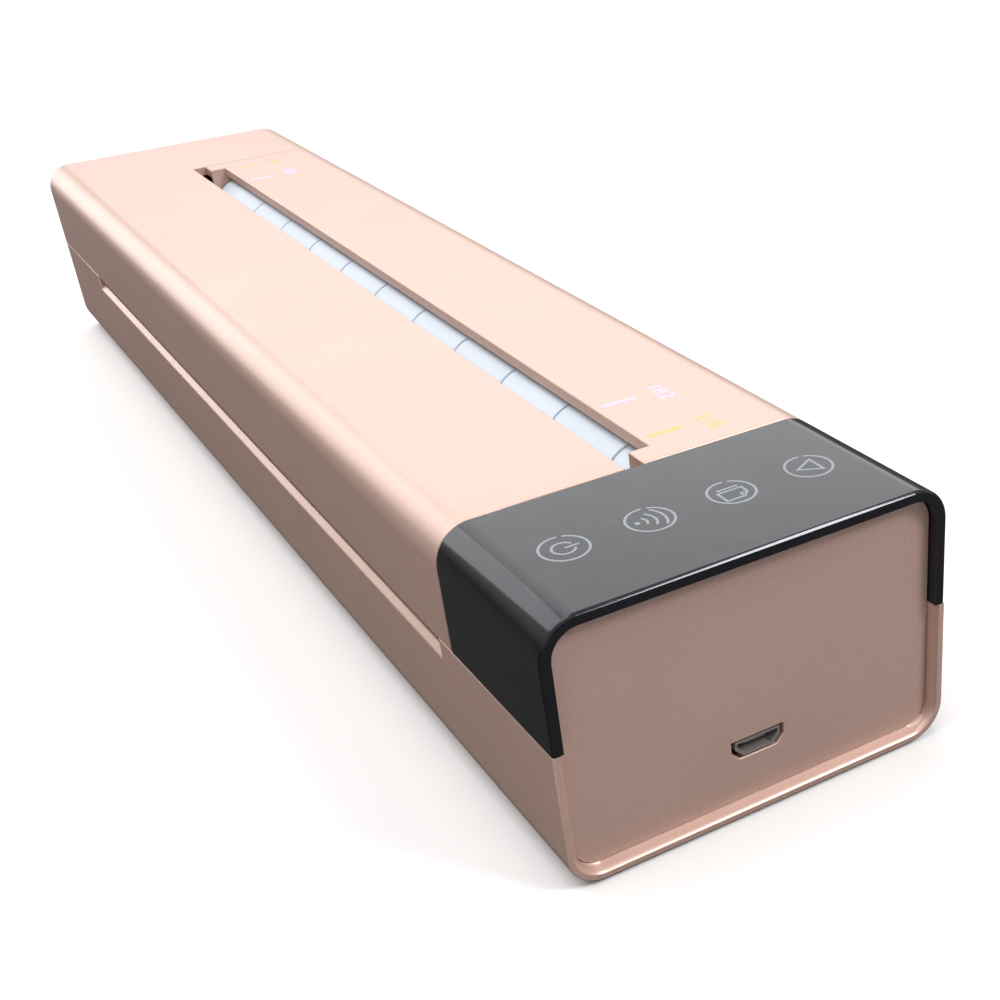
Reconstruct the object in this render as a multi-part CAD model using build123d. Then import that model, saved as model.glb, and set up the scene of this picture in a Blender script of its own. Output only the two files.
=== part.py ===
from build123d import *
import math
import os

# Overall sizes of the printer. X runs along its length, towards the end with the keys.
LENGTH = 290.0
WIDTH = 64.0
CASE_HEIGHT = 42.2
FOOT_STAND = 0.5
TOP_RADIUS = 5.9
BOTTOM_RADIUS = 5.6
SEAM_HEIGHT = 22.6

# Walls and gaps
CASE_WALL = 1.7
SHELL_WALL = 2.0
PANEL_WALL = 1.7
ARCH_WALL = 1.5
SEAT_GAP = 0.05
SHOW_GAP = 0.25
RUN_GAP = 0.05
SMALLEST_RADIUS = 0.5
RIB_ROOT = 1.0

# Key panel and end plates
PANEL_LENGTH = 31.75
PANEL_EDGE_BEVEL = 0.35
PLATE_SETBACK = 1.78
PLATE_THICKNESS = 1.5
PLATE_GAP = 0.1
PLATE_STOP_DEPTH = 1.4
PLATE_STOP_LENGTH = 1.6
RIM_BEVEL = 0.7

# Micro-USB opening and socket
PORT_HEIGHT = 10.4
PORT_WIDTH = 8.8
PORT_DEPTH = 3.2
PORT_CORNER_WIDTH = 1.3
PORT_CORNER_HEIGHT = 1.3
SOCKET_WIDTH = 7.5
SOCKET_DEPTH = 2.6
SOCKET_LENGTH = 5.6
SOCKET_WALL = 0.3
TONGUE_WIDTH = 3.8
TONGUE_DEPTH = 0.6

# Exit slot on top
TAB_LENGTH = 4.95
SLOT_FRONT_Y = -1.4
SLOT_REAR_Y = 5.4
TAB_EDGE_Y = 1.75

# Paper inlet on the front
LEDGE_HEIGHT = 19.05
LEDGE_BEVEL = 1.0

# Platen roller
PLATEN_Y = 7.3
PLATEN_HEIGHT = 33.25
PLATEN_RADIUS = 6.0
PLATEN_END_GAP = 0.4
PLATEN_SHAFT_RADIUS = 3.0
RING_PITCH = 20.0
RING_WIDTH = 0.6
RING_DEPTH = 0.4
END_STEP = 0.3
BUSH_RADIUS = 4.6
PLATEN_GEAR_WIDTH = 1.9

# Cover hinge
HINGE_FROM_SIDE = 4.8
HINGE_HEIGHT = 25.0
HINGE_PIN_RADIUS = 1.2
HINGE_LUG_RADIUS = 2.4
HINGE_SWEEP_GAP = 0.3
CHEEK_THICKNESS = 1.2
BUSH_SEAT = 1.5
COVER_RIB_THICKNESS = 1.0
COVER_RIB_DEPTH = 1.8
COVER_RIB_FRONT_Y = 15.0

# Side frames
FRAME_THICKNESS = 1.0
FRAME_GAP = 0.3
FRAME_FRONT_SPACE = 8.0
FRAME_REAR_SPACE = 11.0
FRAME_TOP_HEIGHT = 38.3
FRAME_SHOULDER_HEIGHT = 31.0
FLANGE_LENGTH = 5.5
FLANGE_WIDTH = 9.0
FLANGE_STATIONS = (-18.0, -5.0)
FLANGE_PAD_HEIGHT = 3.0
FLANGE_PAD_RADIUS = 2.7

# Print head
PAPER_GAP = 0.12
HEAD_BOTTOM_HEIGHT = 28.4
HEAD_TOP_HEIGHT = 38.4
HEAD_END_GAP = 1.8
CERAMIC_THICKNESS = 1.0
DRIVER_STRIP_THICKNESS = 0.7
DRIVER_STRIP_HEIGHT = 1.6
SINK_BASE = 1.8
FIN_DEPTH = 2.2
FIN_THICKNESS = 0.9
FIN_COUNT = 5
BRACKET_THICKNESS = 1.0
PIVOT_Y = -7.2
PIVOT_HEIGHT = 27.7
PIVOT_RADIUS = 1.25
EAR_RADIUS = 2.3
EAR_THICKNESS = 1.5
EAR_FROM_END = 8.5
SPRING_SPREAD = 0.62
SPRING_HEIGHT = 35.0
SPRING_RADIUS = 2.2
SPRING_WIRE = 0.5
SPRING_TURNS = 4

# Chassis beam
BEAM_FACE_Y = -13.0
BEAM_THICKNESS = 1.2
BEAM_FLANGE = 8.0
BEAM_HOLE_PITCH = 26.0
BEAM_HOLE_LENGTH = 14.0
BEAM_HOLE_HEIGHT = 5.0

# Paper path
PATH_FLOOR_HEIGHT = 19.85
PATH_CENTRE_Y = -7.5
PATH_OUTER_RADIUS = 11.0
PATH_INNER_RADIUS = 8.2
GUIDE_THICKNESS = 1.3
LOWER_GUIDE_TURN = 72.0
UPPER_GUIDE_TURN = 48.0
DECK_FRAME_GAP = 0.4
DECK_DROP = 0.6
GUIDE_LEG_THICKNESS = 1.2
GUIDE_RIB_HEIGHT = 0.4
GUIDE_RIB_WIDTH = 1.0

# Paper sensor
SENSOR_Y = -17.0
SENSOR_LENGTH = 5.0
SENSOR_WIDTH = 3.4
SENSOR_DEPTH = 2.2
SENSOR_WINDOW = 2.0

# Gear train
GEAR_MODULE = 0.5
PRESSURE_ANGLE = 20.0
TOOTH_HEIGHT_SHARE = 0.8
TOOTH_ROOT_SHARE = 1.15
TOOTH_BACKLASH = 0.1
PLATEN_TEETH = 24
IDLER_TEETH = 30
SMALL_TEETH = 14
LARGE_TEETH = 36
PINION_TEETH = 14
IDLER_DIRECTION = -100.0
COMPOUND_DIRECTION = -35.0
MOTOR_DIRECTION = 108.0
GEAR_SIDE_GAP = 0.3
LARGE_WHEEL_WIDTH = 2.0
AXLE_RADIUS = 1.0

# Motor
GEAR_PLATE_THICKNESS = 1.0
PLATE_MARGIN = 4.0
MOTOR_RADIUS = 12.0
MOTOR_LENGTH = 17.0
MOTOR_EAR_SPAN = 15.0
MOTOR_EAR_RADIUS = 3.2
MOTOR_EAR_THICKNESS = 1.0
MOTOR_HOLE_RADIUS = 4.5
MOTOR_SHAFT_RADIUS = 1.0

# Boards and battery
BOARD_THICKNESS = 1.6
BOARD_SIDE_SPACE = 5.0
BOARD_NOTCH_RADIUS = 3.7
STANDOFF_RADIUS = 2.4
STANDOFF_FROM_END = 23.5
STANDOFF_FROM_SIDE = 12.0
TOUCH_BOARD_THICKNESS = 1.2
TOUCH_BOARD_LENGTH = 18.0
TOUCH_BOARD_SIDE_SPACE = 7.0
KEY_FROM_END = 15.9
KEY_FROM_SIDE = 12.4
KEY_COUNT = 4
KEY_PAD_RADIUS = 4.2
KEY_PAD_HEIGHT = 0.3
WINDOW_GAP = 0.4
# Each chip: distance from the panel's edge, place across, length, width, height
CHIPS = (
    (10.75, 0.0, 9.0, 9.0, 1.4),
    (7.75, -17.0, 13.0, 9.0, 2.2),
    (11.75, 12.0, 5.0, 6.0, 1.1),
    (20.25, -11.0, 5.0, 5.0, 3.0),
    (2.75, 10.5, 4.0, 14.0, 2.6),
)
CAPACITOR_RADIUS = 2.5
CAPACITOR_HEIGHT = 6.0
CAPACITOR_DISTANCE = 20.75
CAPACITOR_STATIONS = (10.0, 16.0)
BATTERY_LENGTH = 112.0
BATTERY_WIDTH = 38.0
BATTERY_THICKNESS = 12.0
BATTERY_ROUNDING = 2.0
BATTERY_X = -20.0
BATTERY_Y = -8.0

# Fasteners and feet
POST_FROM_END = 12.5
POST_FROM_SIDE = 6.0
POST_RADIUS = 3.0
POST_JOINT_HEIGHT = 13.0
SCREW_RADIUS = 1.1
SCREW_HEAD_RADIUS = 2.1
SCREW_HEAD_HEIGHT = 1.2
SCREW_SINK = 0.5
FOOT_FROM_END = 26.0
FOOT_FROM_SIDE = 12.0
FOOT_RADIUS = 4.0
FOOT_RECESS = 0.6

# Places worked out from the sizes above. Heights above are from the case bottom, these from the table.
END_X = LENGTH / 2
SIDE_Y = WIDTH / 2
HINGE_Y = SIDE_Y - HINGE_FROM_SIDE
POST_X = END_X - POST_FROM_END
POST_Y = SIDE_Y - POST_FROM_SIDE
FOOT_X = END_X - FOOT_FROM_END
FOOT_Y = SIDE_Y - FOOT_FROM_SIDE
STANDOFF_X = END_X - STANDOFF_FROM_END
STANDOFF_Y = SIDE_Y - STANDOFF_FROM_SIDE
FRAME_FRONT_Y = FRAME_FRONT_SPACE - SIDE_Y
FRAME_REAR_Y = SIDE_Y - FRAME_REAR_SPACE
DECK_REAR_Y = FRAME_REAR_Y - DECK_FRAME_GAP
BOARD_HALF_WIDTH = SIDE_Y - BOARD_SIDE_SPACE
TOUCH_BOARD_WIDTH = WIDTH - 2 * TOUCH_BOARD_SIDE_SPACE
CASE_TOP = FOOT_STAND + CASE_HEIGHT
SEAM_Z = FOOT_STAND + SEAM_HEIGHT
FLOOR_Z = FOOT_STAND + CASE_WALL
ROOF_Z = CASE_TOP - SHELL_WALL
PANEL_X = END_X - PANEL_LENGTH
SLOT_END_X = PANEL_X - TAB_LENGTH
HEAD_HALF_LENGTH = SLOT_END_X - HEAD_END_GAP
RING_COUNT = math.floor((SLOT_END_X - PLATEN_END_GAP - RING_WIDTH) / RING_PITCH)
PLATE_FACE_X = END_X - PLATE_SETBACK
PLATE_BACK_X = PLATE_FACE_X - PLATE_THICKNESS
ARCH_INSET = PANEL_WALL + SEAT_GAP
PLATEN_Z = FOOT_STAND + PLATEN_HEIGHT
HINGE_Z = FOOT_STAND + HINGE_HEIGHT
CHEEK_X = SLOT_END_X
FRAME_X = CHEEK_X + CHEEK_THICKNESS + FRAME_GAP
FRAME_OUTER_X = FRAME_X + FRAME_THICKNESS
FRAME_TOP_Z = FOOT_STAND + FRAME_TOP_HEIGHT
HEAD_FACE_Y = PLATEN_Y - PLATEN_RADIUS - PAPER_GAP
HEAD_BOTTOM_Z = FOOT_STAND + HEAD_BOTTOM_HEIGHT
HEAD_TOP_Z = FOOT_STAND + HEAD_TOP_HEIGHT
SINK_FACE_Y = HEAD_FACE_Y - CERAMIC_THICKNESS
BRACKET_FACE_Y = SINK_FACE_Y - SINK_BASE - FIN_DEPTH
BRACKET_BACK_Y = BRACKET_FACE_Y - BRACKET_THICKNESS
PIVOT_Z = FOOT_STAND + PIVOT_HEIGHT
PATH_FLOOR_Z = FOOT_STAND + PATH_FLOOR_HEIGHT
PATH_CENTRE_Z = PATH_FLOOR_Z + PATH_OUTER_RADIUS
UPPER_GUIDE_Z = PATH_CENTRE_Z - PATH_INNER_RADIUS
GEAR_X = -(FRAME_OUTER_X + GEAR_SIDE_GAP)
LARGE_WHEEL_X = GEAR_X - PLATEN_GEAR_WIDTH - GEAR_SIDE_GAP
GEAR_PLATE_X = LARGE_WHEEL_X - LARGE_WHEEL_WIDTH - 2 * GEAR_SIDE_GAP
MOTOR_X = GEAR_PLATE_X - GEAR_PLATE_THICKNESS
PORT_Z = FOOT_STAND + PORT_HEIGHT
BOARD_TOP_Z = PORT_Z - SOCKET_DEPTH / 2
KEY_X = END_X - KEY_FROM_END
KEY_PITCH = (WIDTH - 2 * KEY_FROM_SIDE) / (KEY_COUNT - 1)
SWEEP_RADIUS = math.hypot(SIDE_Y - HINGE_Y, SEAM_Z + SHOW_GAP - HINGE_Z)


def band(y_from, y_to, z_from, z_to):
    """Rectangle across the printer."""
    return Pos((y_from + y_to) / 2, (z_from + z_to) / 2) * Rectangle(y_to - y_from, z_to - z_from)


def disc(y, z, radius):
    """Circle across the printer."""
    return Pos(y, z) * Circle(radius)


def outline(*points):
    """Closed straight-sided figure across the printer."""
    return make_face(Polyline(*points, close=True))


def run(figure, x_from, x_to):
    """Solid of one figure between two stations along the printer."""
    start = min(x_from, x_to)
    return extrude(Plane.YZ.offset(start) * figure, amount=abs(x_to - x_from))


def rod(y, z, radius, x_from, x_to):
    """Round bar along the printer."""
    return run(disc(y, z, radius), x_from, x_to)


def block(x_from, x_to, y_from, y_to, z_from, z_to):
    """Box between six faces."""
    return run(band(y_from, y_to, z_from, z_to), x_from, x_to)


def upright(x, y, radius, z_from, z_to):
    """Upright round bar."""
    return Pos(x, y, (z_from + z_to) / 2) * Cylinder(radius, z_to - z_from)


def housing(inset):
    """Section of the whole housing, drawn in by inset on every side."""
    figure = band(inset - SIDE_Y, SIDE_Y - inset, FOOT_STAND + inset, CASE_TOP - inset)
    low = figure.vertices().group_by(Axis.Y)[0]
    figure = fillet(low, max(BOTTOM_RADIUS - inset, SMALLEST_RADIUS))
    high = figure.vertices().group_by(Axis.Y)[-1]
    return fillet(high, max(TOP_RADIUS - inset, SMALLEST_RADIUS))


def wall(inset, thickness):
    """Closed wall section that lies inset below the outer face."""
    return housing(inset) - housing(inset + thickness)


def above(z):
    """Everything above a height, across the printer."""
    return band(-WIDTH, WIDTH, z, z + 2 * CASE_TOP)


def below(z):
    """Everything below a height, across the printer."""
    return band(-WIDTH, WIDTH, z - 2 * CASE_TOP, z)


def behind(y):
    """Everything behind a line along the printer."""
    return band(y, y + 2 * WIDTH, -CASE_TOP, 2 * CASE_TOP)


def ahead(y):
    """Everything in front of a line along the printer."""
    return band(y - 2 * WIDTH, y, -CASE_TOP, 2 * CASE_TOP)


def both_ends(solid):
    """A solid and its mirror image at the other end."""
    return solid + mirror(solid, about=Plane.YZ)


def rim_bevel(inset):
    """Cutter that breaks the inner edge of the near rim."""
    outer = Plane.YZ.offset(END_X + RIM_BEVEL) * housing(inset - 2 * RIM_BEVEL)
    inner = Plane.YZ.offset(END_X - RIM_BEVEL) * housing(inset)
    return loft([outer.face(), inner.face()])


def post_places():
    """The four screw posts, seen from above."""
    return [(sx * POST_X, sy * POST_Y) for sx in (-1, 1) for sy in (-1, 1)]


def foot_places():
    """The four feet, seen from above."""
    return [(sx * FOOT_X, sy * FOOT_Y) for sx in (-1, 1) for sy in (-1, 1)]


def flange_places():
    """The four screws of the side frames, seen from above."""
    middle = FRAME_OUTER_X + FLANGE_LENGTH / 2
    return [(sx * middle, y) for sx in (-1, 1) for y in FLANGE_STATIONS]


def lower_case():
    """Tray with the rim of both ends, the inlet ledge and the hinge relief."""
    shell = run(wall(0, CASE_WALL) & below(SEAM_Z), -END_X, END_X)
    stops = wall(CASE_WALL, PLATE_STOP_DEPTH) & below(SEAM_Z)
    shell += both_ends(run(stops, PLATE_BACK_X - PLATE_STOP_LENGTH, PLATE_BACK_X))
    for x, y in post_places():
        shell += upright(x, y, POST_RADIUS, FLOOR_Z, FOOT_STAND + POST_JOINT_HEIGHT)
    for x, y in flange_places():
        shell += upright(x, y, FLANGE_PAD_RADIUS, FLOOR_Z, FLOOR_Z + FLANGE_PAD_HEIGHT)
    for side in (-1, 1):
        shell += upright(STANDOFF_X, side * STANDOFF_Y, STANDOFF_RADIUS, FLOOR_Z, BOARD_TOP_Z - BOARD_THICKNESS)
    ledge_z = FOOT_STAND + LEDGE_HEIGHT
    cut = outline(
        (-SIDE_Y - LEDGE_BEVEL, ledge_z - LEDGE_BEVEL),
        (-SIDE_Y + LEDGE_BEVEL, ledge_z + LEDGE_BEVEL),
        (-SIDE_Y + 2 * CASE_WALL, ledge_z + LEDGE_BEVEL),
        (-SIDE_Y + 2 * CASE_WALL, CASE_TOP),
        (-SIDE_Y - LEDGE_BEVEL, CASE_TOP),
    )
    shell -= run(cut, -SLOT_END_X, SLOT_END_X)
    shell -= rod(HINGE_Y, HINGE_Z, SWEEP_RADIUS + HINGE_SWEEP_GAP, -PANEL_X, PANEL_X)
    shell -= both_ends(rim_bevel(CASE_WALL))
    for x, y in post_places():
        shell -= upright(x, y, SCREW_RADIUS, 0, FOOT_STAND + POST_JOINT_HEIGHT)
        shell -= upright(x, y, SCREW_HEAD_RADIUS + PLATE_GAP, 0, FOOT_STAND + SCREW_SINK + SCREW_HEAD_HEIGHT)
    for x, y in flange_places():
        shell -= upright(x, y, SCREW_RADIUS, FLOOR_Z, FLOOR_Z + FLANGE_PAD_HEIGHT)
    for x, y in foot_places():
        shell -= upright(x, y, FOOT_RADIUS, 0, FOOT_STAND + FOOT_RECESS)
    return shell


def upper_shell():
    """Front half of the top, the hood of the far end and the arch under the key panel, in one moulding."""
    skin = wall(0, SHELL_WALL) & above(SEAM_Z)
    arch = wall(ARCH_INSET, ARCH_WALL) & above(SEAM_Z)
    front = ahead(SLOT_FRONT_Y)
    shell = run(skin & front, -PANEL_X, PANEL_X)
    shell += run(skin, -END_X, -PANEL_X)
    shell += run(arch, PANEL_X, PLATE_BACK_X)
    collar = wall(ARCH_INSET, SHELL_WALL) & above(SEAM_Z) & front
    shell += run(collar, PANEL_X - 2 * ARCH_WALL, PANEL_X + ARCH_WALL)
    stops = wall(SHELL_WALL - RIB_ROOT, PLATE_STOP_DEPTH + RIB_ROOT) & above(SEAM_Z)
    shell += run(stops, -PLATE_BACK_X, -PLATE_BACK_X + PLATE_STOP_LENGTH)
    rib = wall(SHELL_WALL - RIB_ROOT, COVER_RIB_DEPTH + RIB_ROOT) & above(SEAM_Z + COVER_RIB_DEPTH)
    rib &= ahead(BEAM_FACE_Y)
    for step in range(-RING_COUNT, RING_COUNT + 1):
        middle = step * RING_PITCH
        shell += run(rib, middle - COVER_RIB_THICKNESS / 2, middle + COVER_RIB_THICKNESS / 2)
    inside = run(housing(SHELL_WALL / 2), -END_X, 0) + run(housing(ARCH_INSET + ARCH_WALL / 2), 0, END_X)
    for x, y in post_places():
        shell += upright(x, y, POST_RADIUS, FOOT_STAND + POST_JOINT_HEIGHT, CASE_TOP) & inside
        shell -= upright(x, y, SCREW_RADIUS, 0, PATH_FLOOR_Z)
    shell -= run(housing(CASE_WALL) & above(SEAM_Z), -END_X, -PLATE_BACK_X)
    window_x = TOUCH_BOARD_LENGTH / 2 + WINDOW_GAP
    window_y = TOUCH_BOARD_WIDTH / 2 + WINDOW_GAP
    shell -= block(KEY_X - window_x, KEY_X + window_x, -window_y, window_y, ROOF_Z - SHELL_WALL, CASE_TOP)
    return shell


def hinge_side(x):
    """End cheek of the cover: holds the roller's bush and turns on the hinge pin."""
    seat_z = PLATEN_Z - BUSH_RADIUS - BUSH_SEAT
    figure = outline(
        (TAB_EDGE_Y, CASE_TOP),
        (SIDE_Y, CASE_TOP),
        (SIDE_Y, HINGE_Z),
        (HINGE_Y, HINGE_Z - HINGE_LUG_RADIUS),
        (HINGE_Y - HINGE_LUG_RADIUS, HINGE_Z),
        (PLATEN_Y + 2 * BUSH_RADIUS, seat_z),
        (TAB_EDGE_Y + BUSH_SEAT, seat_z),
        (TAB_EDGE_Y, seat_z + BUSH_SEAT),
    )
    figure += disc(HINGE_Y, HINGE_Z, HINGE_LUG_RADIUS)
    figure &= housing(SHELL_WALL - RIB_ROOT)
    figure -= disc(HINGE_Y, HINGE_Z, HINGE_PIN_RADIUS + RUN_GAP)
    figure -= disc(PLATEN_Y, PLATEN_Z, BUSH_RADIUS)
    return run(figure, x, x + CHEEK_THICKNESS)


def top_cover():
    """Hinged rear half of the top, with its tabs, end cheeks and inner ribs."""
    skin = wall(0, SHELL_WALL) & above(SEAM_Z + SHOW_GAP)
    cover_end = PANEL_X - SHOW_GAP
    cover = run(skin & behind(TAB_EDGE_Y), -cover_end, cover_end)
    slot = band(TAB_EDGE_Y - SHELL_WALL, SLOT_REAR_Y, ROOF_Z - SHELL_WALL, CASE_TOP + SHELL_WALL)
    cover -= run(slot, -SLOT_END_X, SLOT_END_X)
    cover += both_ends(hinge_side(CHEEK_X))
    rib = wall(SHELL_WALL - RIB_ROOT, COVER_RIB_DEPTH + RIB_ROOT) & above(HINGE_Z + HINGE_LUG_RADIUS)
    rib &= behind(COVER_RIB_FRONT_Y)
    for step in range(-RING_COUNT, RING_COUNT + 1):
        middle = step * RING_PITCH
        cover += run(rib, middle - COVER_RIB_THICKNESS / 2, middle + COVER_RIB_THICKNESS / 2)
    return cover


def control_panel():
    """Gloss arch over the near end, down to the case seam on both sides."""
    figure = wall(0, PANEL_WALL) & above(SEAM_Z + SEAT_GAP)
    panel = run(figure, PANEL_X + SEAT_GAP, END_X)
    outer = Plane.YZ.offset(END_X - PANEL_EDGE_BEVEL) * housing(0)
    inner = Plane.YZ.offset(END_X) * housing(PANEL_EDGE_BEVEL)
    return panel & (run(housing(0), 0, END_X - PANEL_EDGE_BEVEL) + loft([outer.face(), inner.face()]))


def port_figure(width, depth):
    """Outline of a micro-USB socket: flat on top, its two lower corners cut off."""
    half = width / 2
    top = PORT_Z + depth / 2
    bottom = PORT_Z - depth / 2
    return outline(
        (-half, top),
        (half, top),
        (half, bottom + PORT_CORNER_HEIGHT),
        (half - PORT_CORNER_WIDTH, bottom),
        (PORT_CORNER_WIDTH - half, bottom),
        (-half, bottom + PORT_CORNER_HEIGHT),
    )


def end_plate(figure):
    """Plate set back behind the rim of the near end."""
    return run(figure, PLATE_BACK_X, PLATE_FACE_X)


def near_end_plate():
    """Near end plate with the socket opening."""
    return end_plate(housing(CASE_WALL + PLATE_GAP) - port_figure(PORT_WIDTH, PORT_DEPTH))


def far_end_plate():
    """Plain plate of the far end."""
    return mirror(end_plate(housing(CASE_WALL + PLATE_GAP)), about=Plane.YZ)


def usb_socket():
    """Metal shell of the micro-USB socket with its tongue."""
    front = PLATE_FACE_X - PLATE_GAP
    figure = port_figure(SOCKET_WIDTH, SOCKET_DEPTH)
    mouth = port_figure(SOCKET_WIDTH - 2 * SOCKET_WALL, SOCKET_DEPTH - 2 * SOCKET_WALL)
    shell = run(figure, front - SOCKET_LENGTH, front)
    shell -= run(mouth, front - SOCKET_LENGTH + SOCKET_WALL, front)
    tongue = band(-TONGUE_WIDTH / 2, TONGUE_WIDTH / 2, PORT_Z, PORT_Z + TONGUE_DEPTH)
    return shell + run(tongue, front - SOCKET_LENGTH, front - 3 * SOCKET_WALL)


def platen_roller():
    """Ringed sleeve of the roller, turned in one piece."""
    half = CHEEK_X - PLATEN_END_GAP
    last_ring = RING_PITCH * RING_COUNT
    end_radius = PLATEN_RADIUS - END_STEP
    points = [(-half, PLATEN_SHAFT_RADIUS), (-half, end_radius)]
    for step in range(-RING_COUNT, RING_COUNT + 1):
        middle = step * RING_PITCH
        left = end_radius if middle == -last_ring else PLATEN_RADIUS
        right = end_radius if middle == last_ring else PLATEN_RADIUS
        points += [(middle - RING_WIDTH / 2, left), (middle - RING_WIDTH / 2, PLATEN_RADIUS - RING_DEPTH)]
        points += [(middle + RING_WIDTH / 2, PLATEN_RADIUS - RING_DEPTH), (middle + RING_WIDTH / 2, right)]
    points += [(half, end_radius), (half, PLATEN_SHAFT_RADIUS)]
    sleeve = revolve(make_face(Polyline(*points, close=True)), axis=Axis.X)
    return Pos(0, PLATEN_Y, PLATEN_Z) * sleeve


def platen_shaft():
    """Steel shaft of the roller, with a flat for its gear."""
    far = GEAR_X - PLATEN_GEAR_WIDTH
    near = PANEL_X - 2 * SHOW_GAP - RUN_GAP
    shaft = rod(PLATEN_Y, PLATEN_Z, PLATEN_SHAFT_RADIUS, far, near)
    flat = band(PLATEN_Y - PLATEN_SHAFT_RADIUS, PLATEN_Y + PLATEN_SHAFT_RADIUS,
                PLATEN_Z + PLATEN_SHAFT_RADIUS * TOOTH_HEIGHT_SHARE, PLATEN_Z + 2 * PLATEN_SHAFT_RADIUS)
    return shaft - run(flat, far, GEAR_X)


def platen_bushes():
    """Pale collars that carry the shaft in the cover's cheeks."""
    figure = disc(PLATEN_Y, PLATEN_Z, BUSH_RADIUS) - disc(PLATEN_Y, PLATEN_Z, PLATEN_SHAFT_RADIUS + RUN_GAP)
    near = run(figure, CHEEK_X - RUN_GAP, PANEL_X - SHOW_GAP - RUN_GAP)
    far = run(figure, -(FRAME_OUTER_X + RUN_GAP), -(CHEEK_X - RUN_GAP))
    return Compound(children=[near.solid(), far.solid()])


def pitch_radius(teeth):
    """Pitch circle radius of a gear."""
    return GEAR_MODULE * teeth / 2


def gear_figure(teeth, turn):
    """Involute gear face at the origin, with one tooth at the angle turn."""
    pitch = pitch_radius(teeth)
    pressure = math.radians(PRESSURE_ANGLE)
    base = pitch * math.cos(pressure)
    tip = pitch + TOOTH_HEIGHT_SHARE * GEAR_MODULE
    root = pitch - TOOTH_ROOT_SHARE * GEAR_MODULE
    half_tooth = math.pi / 2 / teeth - TOOTH_BACKLASH * GEAR_MODULE / pitch / 2
    flank_angle = half_tooth + math.tan(pressure) - pressure

    def half_width(radius):
        lean = math.acos(min(1.0, base / max(radius, base)))
        return flank_angle - (math.tan(lean) - lean)

    low = max(root, base)
    radii = sorted({root, low, (low + tip) / 2, tip})
    points = []
    for tooth in range(teeth):
        middle = math.radians(turn) + 2 * math.pi * tooth / teeth
        rising = [(r, middle - half_width(r)) for r in radii]
        falling = [(r, middle + half_width(r)) for r in reversed(radii)]
        points += [(r * math.cos(a), r * math.sin(a)) for r, a in rising + falling]
    return outline(*points)


def gear(teeth, turn, place, x_from, x_to, bore):
    """Gear between two stations along the printer."""
    figure = gear_figure(teeth, turn) - Circle(bore)
    return run(Pos(*place) * figure, x_from, x_to)


def next_place(place, direction, teeth, other_teeth):
    """Centre of a gear in mesh with another one, in a direction from it."""
    distance = pitch_radius(teeth) + pitch_radius(other_teeth)
    angle = math.radians(direction)
    return (place[0] + distance * math.cos(angle), place[1] + distance * math.sin(angle))


def next_turn(turn, direction, teeth, other_teeth):
    """Angle of a tooth of the second gear that puts it in mesh with the first."""
    return direction + 180 + 180 / other_teeth + (direction - turn) * teeth / other_teeth


PLATEN_PLACE = (PLATEN_Y, PLATEN_Z)
IDLER_PLACE = next_place(PLATEN_PLACE, IDLER_DIRECTION, PLATEN_TEETH, IDLER_TEETH)
COMPOUND_PLACE = next_place(IDLER_PLACE, COMPOUND_DIRECTION, IDLER_TEETH, SMALL_TEETH)
MOTOR_PLACE = next_place(COMPOUND_PLACE, MOTOR_DIRECTION, LARGE_TEETH, PINION_TEETH)
IDLER_TURN = next_turn(0, IDLER_DIRECTION, PLATEN_TEETH, IDLER_TEETH)
SMALL_TURN = next_turn(IDLER_TURN, COMPOUND_DIRECTION, IDLER_TEETH, SMALL_TEETH)
PINION_TURN = next_turn(SMALL_TURN, MOTOR_DIRECTION, LARGE_TEETH, PINION_TEETH)


def platen_gear():
    """Gear on the far end of the platen shaft."""
    blank = gear(PLATEN_TEETH, 0, PLATEN_PLACE, GEAR_X, GEAR_X - PLATEN_GEAR_WIDTH, AXLE_RADIUS)
    return blank - platen_shaft()


def idler_gear():
    """Gear that hands the turning to the platen when the cover is shut."""
    bore = AXLE_RADIUS + RUN_GAP
    return gear(IDLER_TEETH, IDLER_TURN, IDLER_PLACE, GEAR_X, GEAR_X - PLATEN_GEAR_WIDTH, bore)


def compound_gear():
    """Large and small wheel in one piece, between the motor and the idler."""
    bore = AXLE_RADIUS + RUN_GAP
    small = gear(SMALL_TEETH, SMALL_TURN, COMPOUND_PLACE, GEAR_X, LARGE_WHEEL_X, bore)
    large = gear(LARGE_TEETH, SMALL_TURN, COMPOUND_PLACE, LARGE_WHEEL_X, LARGE_WHEEL_X - LARGE_WHEEL_WIDTH, bore)
    return small + large


def motor_pinion():
    """Pinion and shaft of the motor."""
    start = LARGE_WHEEL_X + GEAR_SIDE_GAP / 2
    end = LARGE_WHEEL_X - LARGE_WHEEL_WIDTH
    teeth = gear(PINION_TEETH, PINION_TURN, MOTOR_PLACE, start, end, MOTOR_SHAFT_RADIUS)
    return teeth + rod(*MOTOR_PLACE, MOTOR_SHAFT_RADIUS, start, MOTOR_X + RUN_GAP)


def gear_axles():
    """Fixed pins of the idler and the compound gear."""
    near = -(FRAME_OUTER_X - FRAME_THICKNESS)
    pins = [rod(*place, AXLE_RADIUS, near, MOTOR_X) for place in (IDLER_PLACE, COMPOUND_PLACE)]
    return Compound(children=[pin.solid() for pin in pins])


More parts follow.
